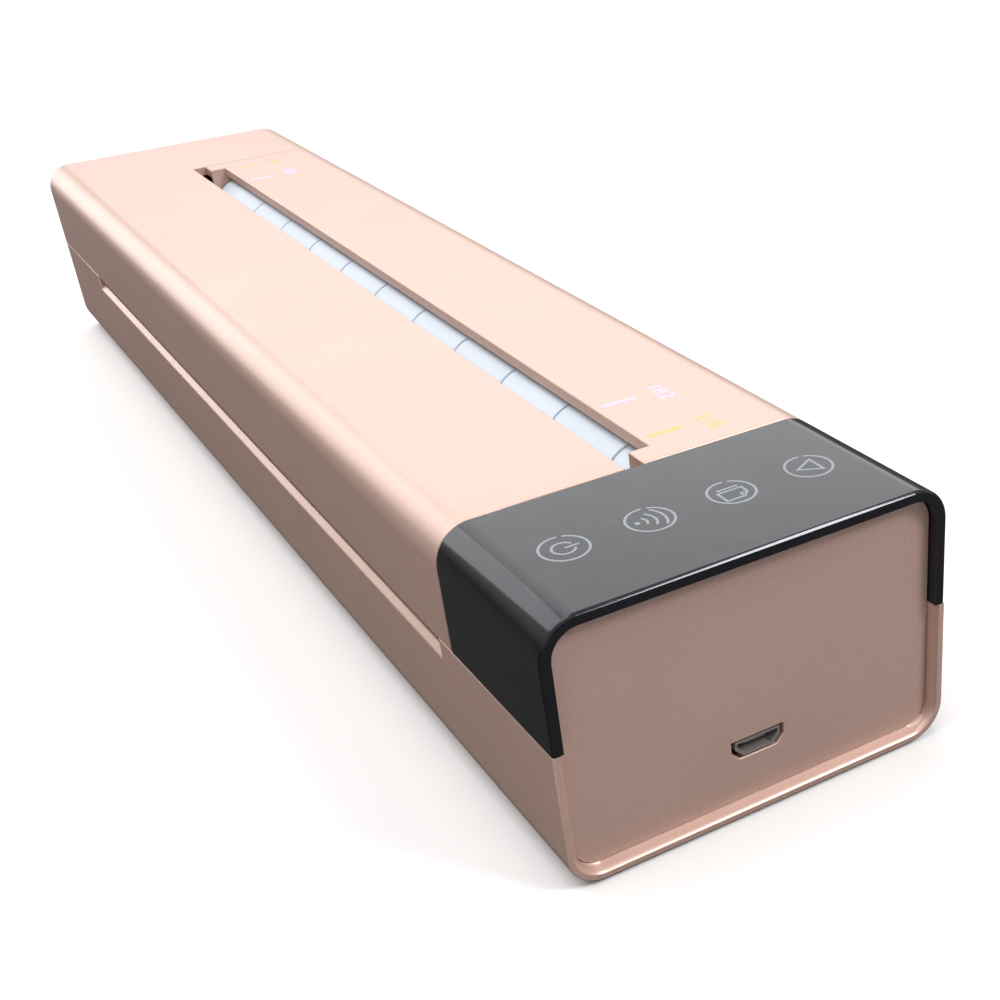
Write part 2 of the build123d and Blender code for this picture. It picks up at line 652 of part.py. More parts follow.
def gear_plate():
    """Sheet metal plate that carries the motor and the outer ends of the gear axles."""
    ears_low = MOTOR_PLACE[1] - MOTOR_EAR_RADIUS
    ears_high = MOTOR_PLACE[1] + MOTOR_EAR_RADIUS
    front = IDLER_PLACE[0] - PLATE_MARGIN
    rear = COMPOUND_PLACE[0] + PLATE_MARGIN
    figure = outline(
        (front, FLOOR_Z),
        (rear, FLOOR_Z),
        (rear, COMPOUND_PLACE[1]),
        (MOTOR_PLACE[0] + MOTOR_EAR_SPAN, ears_low),
        (MOTOR_PLACE[0] + MOTOR_EAR_SPAN, ears_high),
        (MOTOR_PLACE[0] - MOTOR_EAR_SPAN, ears_high),
        (MOTOR_PLACE[0] - MOTOR_EAR_SPAN, ears_low),
        (front, COMPOUND_PLACE[1]),
    )
    figure -= disc(*MOTOR_PLACE, MOTOR_HOLE_RADIUS)
    for place in (IDLER_PLACE, COMPOUND_PLACE):
        figure -= disc(*place, AXLE_RADIUS)
    return run(figure, GEAR_PLATE_X, MOTOR_X)


def stepper_motor():
    """Motor can with its two ears and bearing boss."""
    y, z = MOTOR_PLACE
    can = rod(y, z, MOTOR_RADIUS, MOTOR_X, MOTOR_X - MOTOR_LENGTH)
    ears = disc(y - MOTOR_EAR_SPAN + MOTOR_EAR_RADIUS, z, MOTOR_EAR_RADIUS)
    ears += disc(y + MOTOR_EAR_SPAN - MOTOR_EAR_RADIUS, z, MOTOR_EAR_RADIUS)
    ears += band(y - MOTOR_EAR_SPAN + MOTOR_EAR_RADIUS, y + MOTOR_EAR_SPAN - MOTOR_EAR_RADIUS,
                 z - MOTOR_EAR_RADIUS, z + MOTOR_EAR_RADIUS)
    can += run(ears, MOTOR_X, MOTOR_X - MOTOR_EAR_THICKNESS)
    boss = disc(y, z, MOTOR_HOLE_RADIUS - PLATE_GAP) - disc(y, z, MOTOR_SHAFT_RADIUS + RUN_GAP)
    can += run(boss, GEAR_PLATE_X - GEAR_SIDE_GAP / 2, MOTOR_X)
    return can - rod(y, z, MOTOR_SHAFT_RADIUS + RUN_GAP, MOTOR_X, MOTOR_X - MOTOR_EAR_THICKNESS)


def bush_sweep():
    """Room that a bush needs in a side frame while the cover opens."""
    reach = math.hypot(PLATEN_Y - HINGE_Y, PLATEN_Z - HINGE_Z)
    gap = BUSH_RADIUS + 2 * PLATE_GAP
    ring = disc(HINGE_Y, HINGE_Z, reach + gap) - disc(HINGE_Y, HINGE_Z, reach - gap)
    start = math.atan2(PLATEN_Z - HINGE_Z, PLATEN_Y - HINGE_Y)
    far = 2 * reach
    wedge = outline(
        (HINGE_Y, HINGE_Z),
        (HINGE_Y + far * math.cos(start), HINGE_Z + far * math.sin(start)),
        (HINGE_Y - far, HINGE_Z + far),
        (HINGE_Y, HINGE_Z + far),
    )
    return (ring & wedge) + disc(PLATEN_Y, PLATEN_Z, gap)


def frame_figure():
    """Side frame, with the cradle of the bush and the lobe of the hinge pin."""
    figure = outline(
        (FRAME_FRONT_Y, FLOOR_Z),
        (FRAME_REAR_Y, FLOOR_Z),
        (FRAME_REAR_Y, HINGE_Z - SWEEP_RADIUS),
        (HINGE_Y - HINGE_LUG_RADIUS / 2, HINGE_Z - HINGE_LUG_RADIUS),
        (HINGE_Y, HINGE_Z + HINGE_LUG_RADIUS),
        (HINGE_Y - HINGE_LUG_RADIUS, FRAME_TOP_Z - HINGE_LUG_RADIUS),
        (FRAME_REAR_Y, FRAME_TOP_Z),
        (FRAME_FRONT_Y, FRAME_TOP_Z),
    )
    figure += disc(HINGE_Y, HINGE_Z, HINGE_LUG_RADIUS)
    figure -= disc(HINGE_Y, HINGE_Z, HINGE_PIN_RADIUS)
    figure -= bush_sweep()
    figure -= band(BRACKET_BACK_Y, PLATEN_Y + BUSH_RADIUS, FOOT_STAND + FRAME_SHOULDER_HEIGHT, CASE_TOP)
    figure -= disc(PIVOT_Y, PIVOT_Z, PIVOT_RADIUS)
    return figure


def side_frame():
    """Near side frame with its two screwed feet."""
    frame = run(frame_figure(), FRAME_X, FRAME_OUTER_X)
    low = FLOOR_Z + FLANGE_PAD_HEIGHT
    for y in FLANGE_STATIONS:
        frame += block(FRAME_X, FRAME_OUTER_X + FLANGE_LENGTH, y - FLANGE_WIDTH / 2, y + FLANGE_WIDTH / 2,
                       low, low + FRAME_THICKNESS)
    for x, y in flange_places():
        frame -= upright(x, y, SCREW_RADIUS, low, low + FRAME_THICKNESS)
    return frame


def far_frame():
    """Far side frame: as the near one, with holes for the gear axles."""
    frame = mirror(side_frame(), about=Plane.YZ)
    for place in (IDLER_PLACE, COMPOUND_PLACE):
        frame -= rod(*place, AXLE_RADIUS, -FRAME_X, -FRAME_OUTER_X)
    return frame


def hinge_pins():
    """Two short pins on which the cover turns."""
    pin = rod(HINGE_Y, HINGE_Z, HINGE_PIN_RADIUS, CHEEK_X - CHEEK_THICKNESS / 2, FRAME_OUTER_X)
    return Compound(children=[pin.solid(), mirror(pin, about=Plane.YZ).solid()])


def chassis_beam():
    """Steel channel between the frames, behind the print head, with a row of lightening holes."""
    back = BEAM_FACE_Y - BEAM_THICKNESS
    low = UPPER_GUIDE_Z + GUIDE_THICKNESS
    figure = band(back, BEAM_FACE_Y, low, FRAME_TOP_Z)
    figure += band(back - BEAM_FLANGE, back, low, low + BEAM_THICKNESS)
    figure += band(back - BEAM_FLANGE, back, FRAME_TOP_Z - BEAM_THICKNESS, FRAME_TOP_Z)
    beam = run(figure, -FRAME_X, FRAME_X)
    middle_z = (low + FRAME_TOP_Z) / 2
    count = math.floor(FRAME_X / BEAM_HOLE_PITCH)
    for step in range(-count, count):
        middle = (step + 0.5) * BEAM_HOLE_PITCH
        hole = Plane.XZ * Pos(middle, middle_z) * SlotOverall(BEAM_HOLE_LENGTH, BEAM_HOLE_HEIGHT)
        beam -= extrude(hole, amount=-BEAM_FACE_Y + 2 * BEAM_THICKNESS)
    return beam


def path_figure(radius, thickness, turn, start_y):
    """Bent strip of the paper path: flat from start_y, then up round the path centre."""
    angle = math.radians(turn)
    inner = radius - thickness
    centre_y = PATH_CENTRE_Y
    centre_z = PATH_CENTRE_Z

    def on_arc(r, a):
        return (centre_y + r * math.sin(a), centre_z - r * math.cos(a))

    lines = Line((start_y, centre_z - radius), on_arc(radius, 0))
    lines += ThreePointArc(on_arc(radius, 0), on_arc(radius, angle / 2), on_arc(radius, angle))
    lines += Line(on_arc(radius, angle), on_arc(inner, angle))
    lines += ThreePointArc(on_arc(inner, angle), on_arc(inner, angle / 2), on_arc(inner, 0))
    lines += Line(on_arc(inner, 0), (start_y, centre_z - inner))
    lines += Line((start_y, centre_z - inner), (start_y, centre_z - radius))
    return make_face(lines)


def paper_guide():
    """Lower guide from the inlet up to the platen, with the deck under the cover."""
    start = -SIDE_Y + CASE_WALL + PLATE_GAP
    strip = path_figure(PATH_OUTER_RADIUS + GUIDE_THICKNESS, GUIDE_THICKNESS, LOWER_GUIDE_TURN, start)
    deck_top = PATH_FLOOR_Z + DECK_DROP
    deck = band(PATH_CENTRE_Y + PATH_OUTER_RADIUS / 2, DECK_REAR_Y, deck_top - GUIDE_THICKNESS, deck_top)
    deck -= disc(PATH_CENTRE_Y, PATH_CENTRE_Z, PATH_OUTER_RADIUS)
    leg = band(DECK_REAR_Y - GUIDE_LEG_THICKNESS, DECK_REAR_Y, FLOOR_Z, deck_top)
    guide = run(strip + deck + leg, -HEAD_HALF_LENGTH, HEAD_HALF_LENGTH)
    ribs = path_figure(PATH_OUTER_RADIUS, GUIDE_RIB_HEIGHT, LOWER_GUIDE_TURN, start + 4 * GUIDE_THICKNESS)
    for step in range(-RING_COUNT, RING_COUNT):
        middle = (step + 0.5) * RING_PITCH
        guide += run(ribs, middle - GUIDE_RIB_WIDTH / 2, middle + GUIDE_RIB_WIDTH / 2)
    shelf = band(start, DECK_REAR_Y, PATH_FLOOR_Z - 2 * GUIDE_THICKNESS, PATH_FLOOR_Z - GUIDE_THICKNESS)
    guide += both_ends(run(shelf, HEAD_HALF_LENGTH - GUIDE_THICKNESS, FRAME_X))
    window = SENSOR_WINDOW / 2
    guide -= block(-window, window, SENSOR_Y - window, SENSOR_Y + window, FLOOR_Z, PATH_FLOOR_Z)
    return guide


def upper_guide():
    """Inner guide of the paper path, under the chassis beam."""
    start = -SIDE_Y + SHELL_WALL + COVER_RIB_DEPTH
    strip = path_figure(PATH_INNER_RADIUS, GUIDE_THICKNESS, UPPER_GUIDE_TURN, start)
    guide = run(strip, -HEAD_HALF_LENGTH, HEAD_HALF_LENGTH)
    ends = band(start, BEAM_FACE_Y, UPPER_GUIDE_Z, UPPER_GUIDE_Z + GUIDE_THICKNESS)
    return guide + both_ends(run(ends, HEAD_HALF_LENGTH - GUIDE_THICKNESS, FRAME_X))


def paper_sensor():
    """Optical sensor under its window in the lower guide."""
    top = PATH_FLOOR_Z - GUIDE_THICKNESS
    return block(-SENSOR_LENGTH / 2, SENSOR_LENGTH / 2, SENSOR_Y - SENSOR_WIDTH / 2, SENSOR_Y + SENSOR_WIDTH / 2,
                 top - SENSOR_DEPTH, top)


def thermal_head():
    """Ceramic head with the strip over its drivers."""
    figure = band(SINK_FACE_Y, HEAD_FACE_Y, HEAD_BOTTOM_Z, HEAD_TOP_Z)
    strip = band(HEAD_FACE_Y, HEAD_FACE_Y + DRIVER_STRIP_THICKNESS,
                 HEAD_BOTTOM_Z, HEAD_BOTTOM_Z + DRIVER_STRIP_HEIGHT)
    return run(figure + strip, -HEAD_HALF_LENGTH, HEAD_HALF_LENGTH)


def head_heatsink():
    """Aluminium bar behind the head, with fins along its back."""
    base_back = SINK_FACE_Y - SINK_BASE
    figure = band(base_back, SINK_FACE_Y, HEAD_BOTTOM_Z, HEAD_TOP_Z)
    pitch = (HEAD_TOP_Z - HEAD_BOTTOM_Z - FIN_THICKNESS) / (FIN_COUNT - 1)
    for step in range(FIN_COUNT):
        low = HEAD_BOTTOM_Z + step * pitch
        figure += band(BRACKET_FACE_Y, base_back, low, low + FIN_THICKNESS)
    return run(figure, -HEAD_HALF_LENGTH, HEAD_HALF_LENGTH)


def head_bracket():
    """Sheet bracket of the head, with three ears on the pivot rod."""
    plate = run(band(BRACKET_BACK_Y, BRACKET_FACE_Y, HEAD_BOTTOM_Z, HEAD_TOP_Z), -HEAD_HALF_LENGTH, HEAD_HALF_LENGTH)
    ear = disc(PIVOT_Y, PIVOT_Z, EAR_RADIUS)
    ear += band(PIVOT_Y, BRACKET_FACE_Y, HEAD_BOTTOM_Z, PIVOT_Z + EAR_RADIUS)
    ear -= disc(PIVOT_Y, PIVOT_Z, PIVOT_RADIUS + RUN_GAP)
    ear_x = HEAD_HALF_LENGTH - EAR_FROM_END
    for middle in (-ear_x, 0, ear_x):
        plate += run(ear, middle - EAR_THICKNESS / 2, middle + EAR_THICKNESS / 2)
    return plate


def head_pivot_rod():
    """Rod between the side frames on which the head bracket turns."""
    return rod(PIVOT_Y, PIVOT_Z, PIVOT_RADIUS, -FRAME_OUTER_X, FRAME_OUTER_X)


def head_springs():
    """Coil springs that press the head against the platen."""
    room = BRACKET_BACK_Y - BEAM_FACE_Y - SPRING_WIRE - 2 * RUN_GAP
    path = Helix(room / SPRING_TURNS, room, SPRING_RADIUS)
    start = Plane(origin=path @ 0, z_dir=path % 0)
    coil = sweep(start * RegularPolygon(SPRING_WIRE / 2, 6), path=path)
    lay = Rot(-90, 0, 0) * coil
    foot = BEAM_FACE_Y + SPRING_WIRE / 2 + RUN_GAP
    spread = SPRING_SPREAD * HEAD_HALF_LENGTH
    springs = [Pos(x, foot, FOOT_STAND + SPRING_HEIGHT) * lay for x in (-spread, 0, spread)]
    return Compound(children=[spring.solid() for spring in springs])


def main_board():
    """Main circuit board in the near end, cut out round the screw posts."""
    front = PLATE_BACK_X - PLATE_STOP_LENGTH - PLATE_GAP
    board = block(FRAME_OUTER_X + RUN_GAP * 20, front, -BOARD_HALF_WIDTH, BOARD_HALF_WIDTH,
                  BOARD_TOP_Z - BOARD_THICKNESS, BOARD_TOP_Z)
    for side in (-1, 1):
        board -= upright(POST_X, side * POST_Y, BOARD_NOTCH_RADIUS, FLOOR_Z, PORT_Z)
    return board


def touch_board():
    """Touch board under the key panel, with a pad under each key."""
    top = CASE_TOP - PANEL_WALL
    low = top - TOUCH_BOARD_THICKNESS
    half_x = TOUCH_BOARD_LENGTH / 2
    half_y = TOUCH_BOARD_WIDTH / 2
    board = block(KEY_X - half_x, KEY_X + half_x, -half_y, half_y, low, top - KEY_PAD_HEIGHT)
    for step in range(KEY_COUNT):
        y = KEY_FROM_SIDE - SIDE_Y + step * KEY_PITCH
        board += upright(KEY_X, y, KEY_PAD_RADIUS, low, top)
    return board


def board_parts():
    """Processor, radio module, memory, coil, head connector and two capacitors."""
    parts = []
    for distance, y, length, width, height in CHIPS:
        x = PANEL_X + distance
        parts.append(block(x - length / 2, x + length / 2, y - width / 2, y + width / 2,
                           BOARD_TOP_Z, BOARD_TOP_Z + height))
    for y in CAPACITOR_STATIONS:
        parts.append(upright(PANEL_X + CAPACITOR_DISTANCE, y, CAPACITOR_RADIUS,
                             BOARD_TOP_Z, BOARD_TOP_Z + CAPACITOR_HEIGHT))
    return Compound(children=[part.solid() for part in parts])


def battery_pack():
    """Flat rechargeable pack on the case floor, under the paper path."""
    pack = block(-BATTERY_LENGTH / 2, BATTERY_LENGTH / 2, -BATTERY_WIDTH / 2, BATTERY_WIDTH / 2,
                 0, BATTERY_THICKNESS)
    pack = fillet(pack.edges().filter_by(Axis.X), BATTERY_ROUNDING)
    return Pos(BATTERY_X, BATTERY_Y, FLOOR_Z) * pack


def rubber_feet():
    """Four round feet set into the case bottom."""
    feet = []
    for x, y in foot_places():
        foot = upright(x, y, FOOT_RADIUS - SEAT_GAP, 0, FOOT_STAND + FOOT_RECESS)
        feet.append(chamfer(foot.edges().group_by(Axis.Z)[0], FOOT_STAND / 2).solid())
    return Compound(children=feet)


def case_screws():
    """Four screws that hold the upper shell's posts to the case."""
    low = FOOT_STAND + SCREW_SINK
    screws = []
    for x, y in post_places():
        screw = upright(x, y, SCREW_HEAD_RADIUS, low, low + SCREW_HEAD_HEIGHT)
        screw += upright(x, y, SCREW_RADIUS, low + SCREW_HEAD_HEIGHT, PATH_FLOOR_Z)
        screws.append(screw.solid())
    return Compound(children=screws)


def frame_screws():
    """Four screws through the feet of the side frames."""
    low = FLOOR_Z + FLANGE_PAD_HEIGHT + FRAME_THICKNESS
    screws = []
    for x, y in flange_places():
        screw = upright(x, y, SCREW_HEAD_RADIUS, low, low + SCREW_HEAD_HEIGHT)
        screw += upright(x, y, SCREW_RADIUS, FLOOR_Z, low)
        screws.append(screw.solid())
    return Compound(children=screws)


PIECES = {
    "lower_case": lower_case,
    "upper_shell": upper_shell,
    "top_cover": top_cover,
    "control_panel": control_panel,
    "near_end_plate": near_end_plate,
    "far_end_plate": far_end_plate,
    "usb_socket": usb_socket,
    "platen_roller": platen_roller,
    "platen_shaft": platen_shaft,
    "platen_bushes": platen_bushes,
    "platen_gear": platen_gear,
    "idler_gear": idler_gear,
    "compound_gear": compound_gear,
    "motor_pinion": motor_pinion,
    "gear_axles": gear_axles,
    "gear_plate": gear_plate,
    "stepper_motor": stepper_motor,
    "near_frame": side_frame,
    "far_frame": far_frame,
    "hinge_pins": hinge_pins,
    "chassis_beam": chassis_beam,
    "paper_guide": paper_guide,
    "upper_guide": upper_guide,
    "paper_sensor": paper_sensor,
    "thermal_head": thermal_head,
    "head_heatsink": head_heatsink,
    "head_bracket": head_bracket,
    "head_pivot_rod": head_pivot_rod,
    "head_springs": head_springs,
    "main_board": main_board,
    "touch_board": touch_board,
    "board_parts": board_parts,
    "battery_pack": battery_pack,
    "rubber_feet": rubber_feet,
    "case_screws": case_screws,
    "frame_screws": frame_screws,
}

os.makedirs("parts", exist_ok=True)
for name, make in PIECES.items():
    export_step(make(), f"parts/{name}.step")
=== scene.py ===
from math import atan2, cos, hypot, pi, radians, sin

import bmesh
import bpy
from mathutils import Matrix, Vector


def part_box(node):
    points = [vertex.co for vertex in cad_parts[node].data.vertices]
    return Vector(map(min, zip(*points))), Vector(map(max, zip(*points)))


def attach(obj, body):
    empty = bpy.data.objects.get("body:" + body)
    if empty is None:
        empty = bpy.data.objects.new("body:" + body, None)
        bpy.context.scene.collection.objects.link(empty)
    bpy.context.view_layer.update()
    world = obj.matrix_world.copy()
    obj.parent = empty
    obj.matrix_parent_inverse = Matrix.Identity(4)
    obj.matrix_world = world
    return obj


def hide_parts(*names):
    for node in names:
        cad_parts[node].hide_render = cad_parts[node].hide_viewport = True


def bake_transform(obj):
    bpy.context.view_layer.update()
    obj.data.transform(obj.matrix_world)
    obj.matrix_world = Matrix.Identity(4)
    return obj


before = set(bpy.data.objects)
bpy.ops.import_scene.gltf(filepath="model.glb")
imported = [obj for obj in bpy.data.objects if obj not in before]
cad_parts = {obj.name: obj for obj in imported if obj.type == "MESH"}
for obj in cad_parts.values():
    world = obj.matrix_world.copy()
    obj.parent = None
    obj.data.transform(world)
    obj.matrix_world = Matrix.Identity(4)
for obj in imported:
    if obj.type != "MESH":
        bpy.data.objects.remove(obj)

bl_info = {
    "name": "Stencil printer dressing",
    "version": (1, 0, 0),
    "blender": (4, 5, 0),
    "location": "3D View > Sidebar > Printer",
    "description": "Shells, key panel, roller, fasteners and finishes of a slim thermal printer",
    "category": "Object",
}

MM = 0.001
CASE_LOW, CASE_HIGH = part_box("lower_case")
HALF_WIDTH = CASE_HIGH.y
CASE_BASE = CASE_LOW.z
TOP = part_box("upper_shell")[1].z
NEAR = 0.0001 * MM
CAMERA_PLACE = (0.28696, -0.08923, 0.13377)
CAMERA_TURN = ((0.531975, -0.43981, 0.723582), (0.844792, 0.333896, -0.418138), (-0.0577, 0.833715, 0.549172))
CAMERA_SHIFT = (-0.2158, 0.1757)
PRINT_DEPTH = 0.015 * MM
TOP_CORNER = 5.9 * MM
BASE_CORNER = 5.6 * MM
SCREW_HEAD = 2.1 * MM
SCREW_HEAD_HEIGHT = 1.2 * MM
SCREW_SHANK = 1.1 * MM
SPRING_RADIUS = 2.2 * MM
SPRING_WIRE = 0.25 * MM
FOOT_RADIUS = 3.95 * MM
DASH_START = 6.8 * MM
DIGITS_START = 15.8 * MM
DIGITS_SHIFT = 0.9 * MM
DIGITS_HEIGHT = 2.7 * MM
# Distance from the middle, number, finish and width of the number
WIDTH_MARKS = ((105.5 * MM, "210", "wide_mark", 5.4 * MM), (91.0 * MM, "182", "narrow_mark", 5.6 * MM))


# Settings that a user would change

def colour_setting(label, about, value):
    """Colour that can be picked."""
    return bpy.props.FloatVectorProperty(name=label, description=about, default=value, subtype="COLOR")


def length_setting(label, about, value):
    """Length, given in millimetres."""
    return bpy.props.FloatProperty(name=label, description=about, default=value * MM, unit="LENGTH")


def power_setting(label, about, value):
    """Power of a lamp in watts."""
    return bpy.props.FloatProperty(name=label, description=about, default=value, subtype="POWER", unit="POWER")


class StageSettings(bpy.types.PropertyGroup):
    """Camera, lamps and floor."""
    lens: bpy.props.FloatProperty(
        name="Lens", description="Focal length of the camera", default=53.04, subtype="DISTANCE_CAMERA")
    floor_tone: colour_setting("Floor", "Colour of the floor", (0.9, 0.9, 0.9))
    key_power: power_setting("Key lamp", "Power of the lamp overhead", 10.7)
    back_power: power_setting("Back lamp", "Power of the soft panel behind", 4.0)
    fill_power: power_setting("Fill lamp", "Power of the soft panel beside the camera", 0.4)
    rim_power: power_setting("Rim lamp", "Power of the lamp that the rim of the near end mirrors", 4.8)
    edge_power: power_setting("Edge lamp", "Power of the lamp that the long rounded edge mirrors", 2.8)


class CaseSettings(bpy.types.PropertyGroup):
    """Moulded shells of the case."""
    colour: colour_setting("Shell colour", "Colour of the moulded shells", (0.64, 0.426, 0.354))
    plate_colour: colour_setting("End plate colour", "Colour of the end plates", (0.61, 0.412, 0.352))
    edge_round: length_setting("Edge rounding", "Width of the rounded edges", 0.22)
    speckle: bpy.props.FloatProperty(
        name="Speckle", description="Strength of the fine flecks", default=0.06, subtype="FACTOR")


class PanelSettings(bpy.types.PropertyGroup):
    """Gloss key panel."""
    colour: colour_setting("Panel colour", "Colour of the gloss panel", (0.011, 0.011, 0.013))
    icon_colour: colour_setting("Icon colour", "Colour of the printed key signs", (0.27, 0.29, 0.31))
    edge_round: length_setting("Panel edge", "Rounding of the panel's edges", 0.15)
    key_pitch: length_setting("Key pitch", "Distance between the keys", 13.07)
    ring_radius: length_setting("Key ring", "Outer radius of a key's ring", 3.65)
    line: length_setting("Line", "Width of the printed lines", 0.38)


class RollerSettings(bpy.types.PropertyGroup):
    """Platen roller."""
    colour: colour_setting("Roller colour", "Colour of the roller's sleeve", (0.68, 0.76, 0.85))
    pitch: length_setting("Ring pitch", "Distance between the rings", 20.0)
    ring_width: length_setting("Ring width", "Width of a ring's groove", 0.6)
    ring_depth: length_setting("Ring depth", "Depth of a ring's groove", 0.4)


class MarkSettings(bpy.types.PropertyGroup):
    """Paper width marks on the cover."""
    wide_colour: colour_setting("Wide mark", "Colour of the marks for 210 mm paper", (0.80, 0.50, 0.19))
    narrow_colour: colour_setting("Narrow mark", "Colour of the marks for 182 mm paper", (0.62, 0.56, 0.86))
    dash_length: length_setting("Dash length", "Length of a width mark", 5.9)
    dash_width: length_setting("Dash width", "Width of a width mark", 1.05)


# Building meshes

def new_object(name, data):
    """Links a new object at the origin."""
    piece = bpy.data.objects.new(name, data)
    bpy.context.scene.collection.objects.link(piece)
    return piece


def from_bmesh(name, work):
    """Turns a bmesh into an object with its faces pointing outwards."""
    bmesh.ops.recalc_face_normals(work, faces=work.faces)
    mesh = bpy.data.meshes.new(name)
    work.to_mesh(mesh)
    work.free()
    return new_object(name, mesh)


def gathered(name, *pieces):
    """Joins several objects into one."""
    work = bmesh.new()
    for piece in pieces:
        work.from_mesh(piece.data)
        bpy.data.objects.remove(piece)
    return from_bmesh(name, work)


def evaluated_mesh(piece):
    """Plain mesh of a piece as its modifiers leave it."""
    bpy.context.view_layer.update()
    graph = bpy.context.evaluated_depsgraph_get()
    return bpy.data.meshes.new_from_object(piece.evaluated_get(graph), depsgraph=graph)


def baked(piece):
    """Applies a piece's modifiers, so that it is a plain mesh."""
    mesh = evaluated_mesh(piece)
    mesh.name = piece.name
    piece.modifiers.clear()
    piece.data = mesh
    return piece


def shaded(piece, sharp=35.0):
    """Smooth shading that keeps the corners crisp."""
    piece.data.shade_smooth()
    piece.data.set_sharp_from_angle(angle=radians(sharp))
    weighted = piece.modifiers.new("Weighted", "WEIGHTED_NORMAL")
    weighted.keep_sharp = True
    return baked(piece)


def dress(piece, body, slot, material, *nodes):
    """Gives a finished piece its material, its body and the nodes it stands for."""
    if material:
        piece.data.materials.clear()
        piece.data.materials.append(material)
    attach(piece, body)
    if nodes:
        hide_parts(*nodes)
    return piece


def merged(node):
    """Clean mesh of a CAD node: doubles joined and flat faces in one piece."""
    work = bmesh.new()
    work.from_mesh(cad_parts[node].data)
    bmesh.ops.remove_doubles(work, verts=work.verts, dist=0.002 * MM)
    bmesh.ops.dissolve_limit(work, angle_limit=radians(0.4), verts=work.verts, edges=work.edges)
    return work


def skin_distance(point):
    """Distance of a point from the outer skin of the closed housing, seen along the printer."""
    middle = (CASE_BASE + TOP) / 2
    radius = TOP_CORNER if point.z > middle else BASE_CORNER
    across = abs(point.y) - (HALF_WIDTH - radius)
    up = abs(point.z - middle) - ((TOP - CASE_BASE) / 2 - radius)
    return hypot(max(across, 0), max(up, 0)) + min(max(across, up), 0) - radius


def on_skin(edge):
    """True for an edge that lies on the outer skin."""
    return all(abs(skin_distance(corner.co)) < 0.03 * MM for corner in edge.verts)


def soften(work, chosen, width, least=30.0):
    """Rounds the chosen sharp edges."""
    edges = []
    for edge in work.edges:
        if len(edge.link_faces) == 2 and edge.calc_face_angle(0) > radians(least) and chosen(edge):
            edges.append(edge)
    bmesh.ops.bevel(work, geom=edges, offset=width, offset_type="OFFSET", segments=2, profile=0.5,
                    affect="EDGES", clamp_overlap=False, loop_slide=True)


def sink_top(work):
    """Lowers the top face by the thickness of the printing that stands on it."""
    for corner in work.verts:
        if corner.co.z > TOP - PRINT_DEPTH:
            corner.co.z = TOP - PRINT_DEPTH


def lathe(profile, sides=96):
    """Turns a profile of points (along, radius) about the X axis."""
    work = bmesh.new()
    rings = []
    for along, radius in profile:
        turns = [2 * pi * k / sides for k in range(sides)] if radius > 0 else [0.0]
        rings.append([work.verts.new((along, radius * cos(turn), radius * sin(turn))) for turn in turns])
    for first, second in zip(rings, rings[1:]):
        for k in range(sides):
            corners = [first[k % len(first)], first[(k + 1) % len(first)],
                       second[(k + 1) % len(second)], second[k % len(second)]]
            distinct = list(dict.fromkeys(corners))
            if len(distinct) > 2:
                work.faces.new(distinct)
    return work


# Flat printed signs

def stroke(points, width, closed=False):
    """Two sides of a line of a given width, mitred at its corners."""
    left, right = [], []
    count = len(points)
    for k, point in enumerate(points):
        before = points[(k - 1) % count] if closed or k > 0 else None
        after = points[(k + 1) % count] if closed or k < count - 1 else None
        one = (Vector(point) - Vector(before)).normalized() if before else None
        two = (Vector(after) - Vector(point)).normalized() if after else None
        one = one or two
        two = two or one
        normal = Vector((-(one + two).y, (one + two).x)).normalized()
        side = Vector((-one.y, one.x))
        reach = width / 2 / max(normal.dot(side), 0.3)
        left.append(Vector(point) + normal * reach)
        right.append(Vector(point) - normal * reach)
    return left, right, closed


def arc(middle, radius, start, end, steps=48):
    """Points of an arc, angles in degrees."""
    turns = [radians(start + (end - start) * k / steps) for k in range(steps + 1)]
    return [(middle[0] + radius * cos(a), middle[1] + radius * sin(a)) for a in turns]


def add_stroke(work, shape, place):
    """Adds a printed line to the print layer, at a place on the top face."""
    left, right, closed = shape
    low, high = TOP - 2 * PRINT_DEPTH, TOP
    rows = []
    for a, b in zip(left, right):
        corners = [(a, low), (b, low), (b, high), (a, high)]
        rows.append([work.verts.new((place[0] + p.x, place[1] + p.y, z)) for p, z in corners])
    pairs = list(zip(rows, rows[1:]))
    if closed:
        pairs.append((rows[-1], rows[0]))
    for one, two in pairs:
        for k in range(4):
            work.faces.new((one[k], one[(k + 1) % 4], two[(k + 1) % 4], two[k]))
    if not closed:
        work.faces.new(rows[0])
        work.faces.new(list(reversed(rows[-1])))


def add_dot(work, middle, radius, place):
    """Adds a printed dot."""
    ring = arc(middle, radius, 0, 360, 24)[:-1]
    low = [work.verts.new((place[0] + x, place[1] + y, TOP - 2 * PRINT_DEPTH)) for x, y in ring]
    high = [work.verts.new((place[0] + x, place[1] + y, TOP)) for x, y in ring]
    work.faces.new(low)
    work.faces.new(high)
    for k in range(len(ring)):
        after = (k + 1) % len(ring)
        work.faces.new((low[k], low[after], high[after], high[k]))


# Geometry Nodes

SOCKETS = {int: "NodeSocketInt", float: "NodeSocketFloat", tuple: "NodeSocketVector"}


def titled(key):
    """Label of the socket that a keyword stands for, such as Head Radius for head_radius."""
    return key.replace("_", " ").title()


def first_output(source):
    """First output of a node; anything else comes back as it is."""
    return source.outputs[0] if isinstance(source, bpy.types.Node) else source


def put(tree, kind, links=None, **options):
    """Adds a node, sets its options, and links its inputs or gives them plain values."""
    made = tree.nodes.new(kind)
    for key, value in options.items():
        setattr(made, key, value)
    for key, source in (links or {}).items():
        source = first_output(source)
        if isinstance(source, bpy.types.NodeSocket):
            tree.links.new(source, made.inputs[key])
        else:
            made.inputs[key].default_value = source
    return made


def maths(tree, first, second, operation="MULTIPLY", **options):
    """Adds a maths node on two values; it multiplies them if no operation is named."""
    return put(tree, "ShaderNodeMath", {0: first, 1: second}, operation=operation, **options)


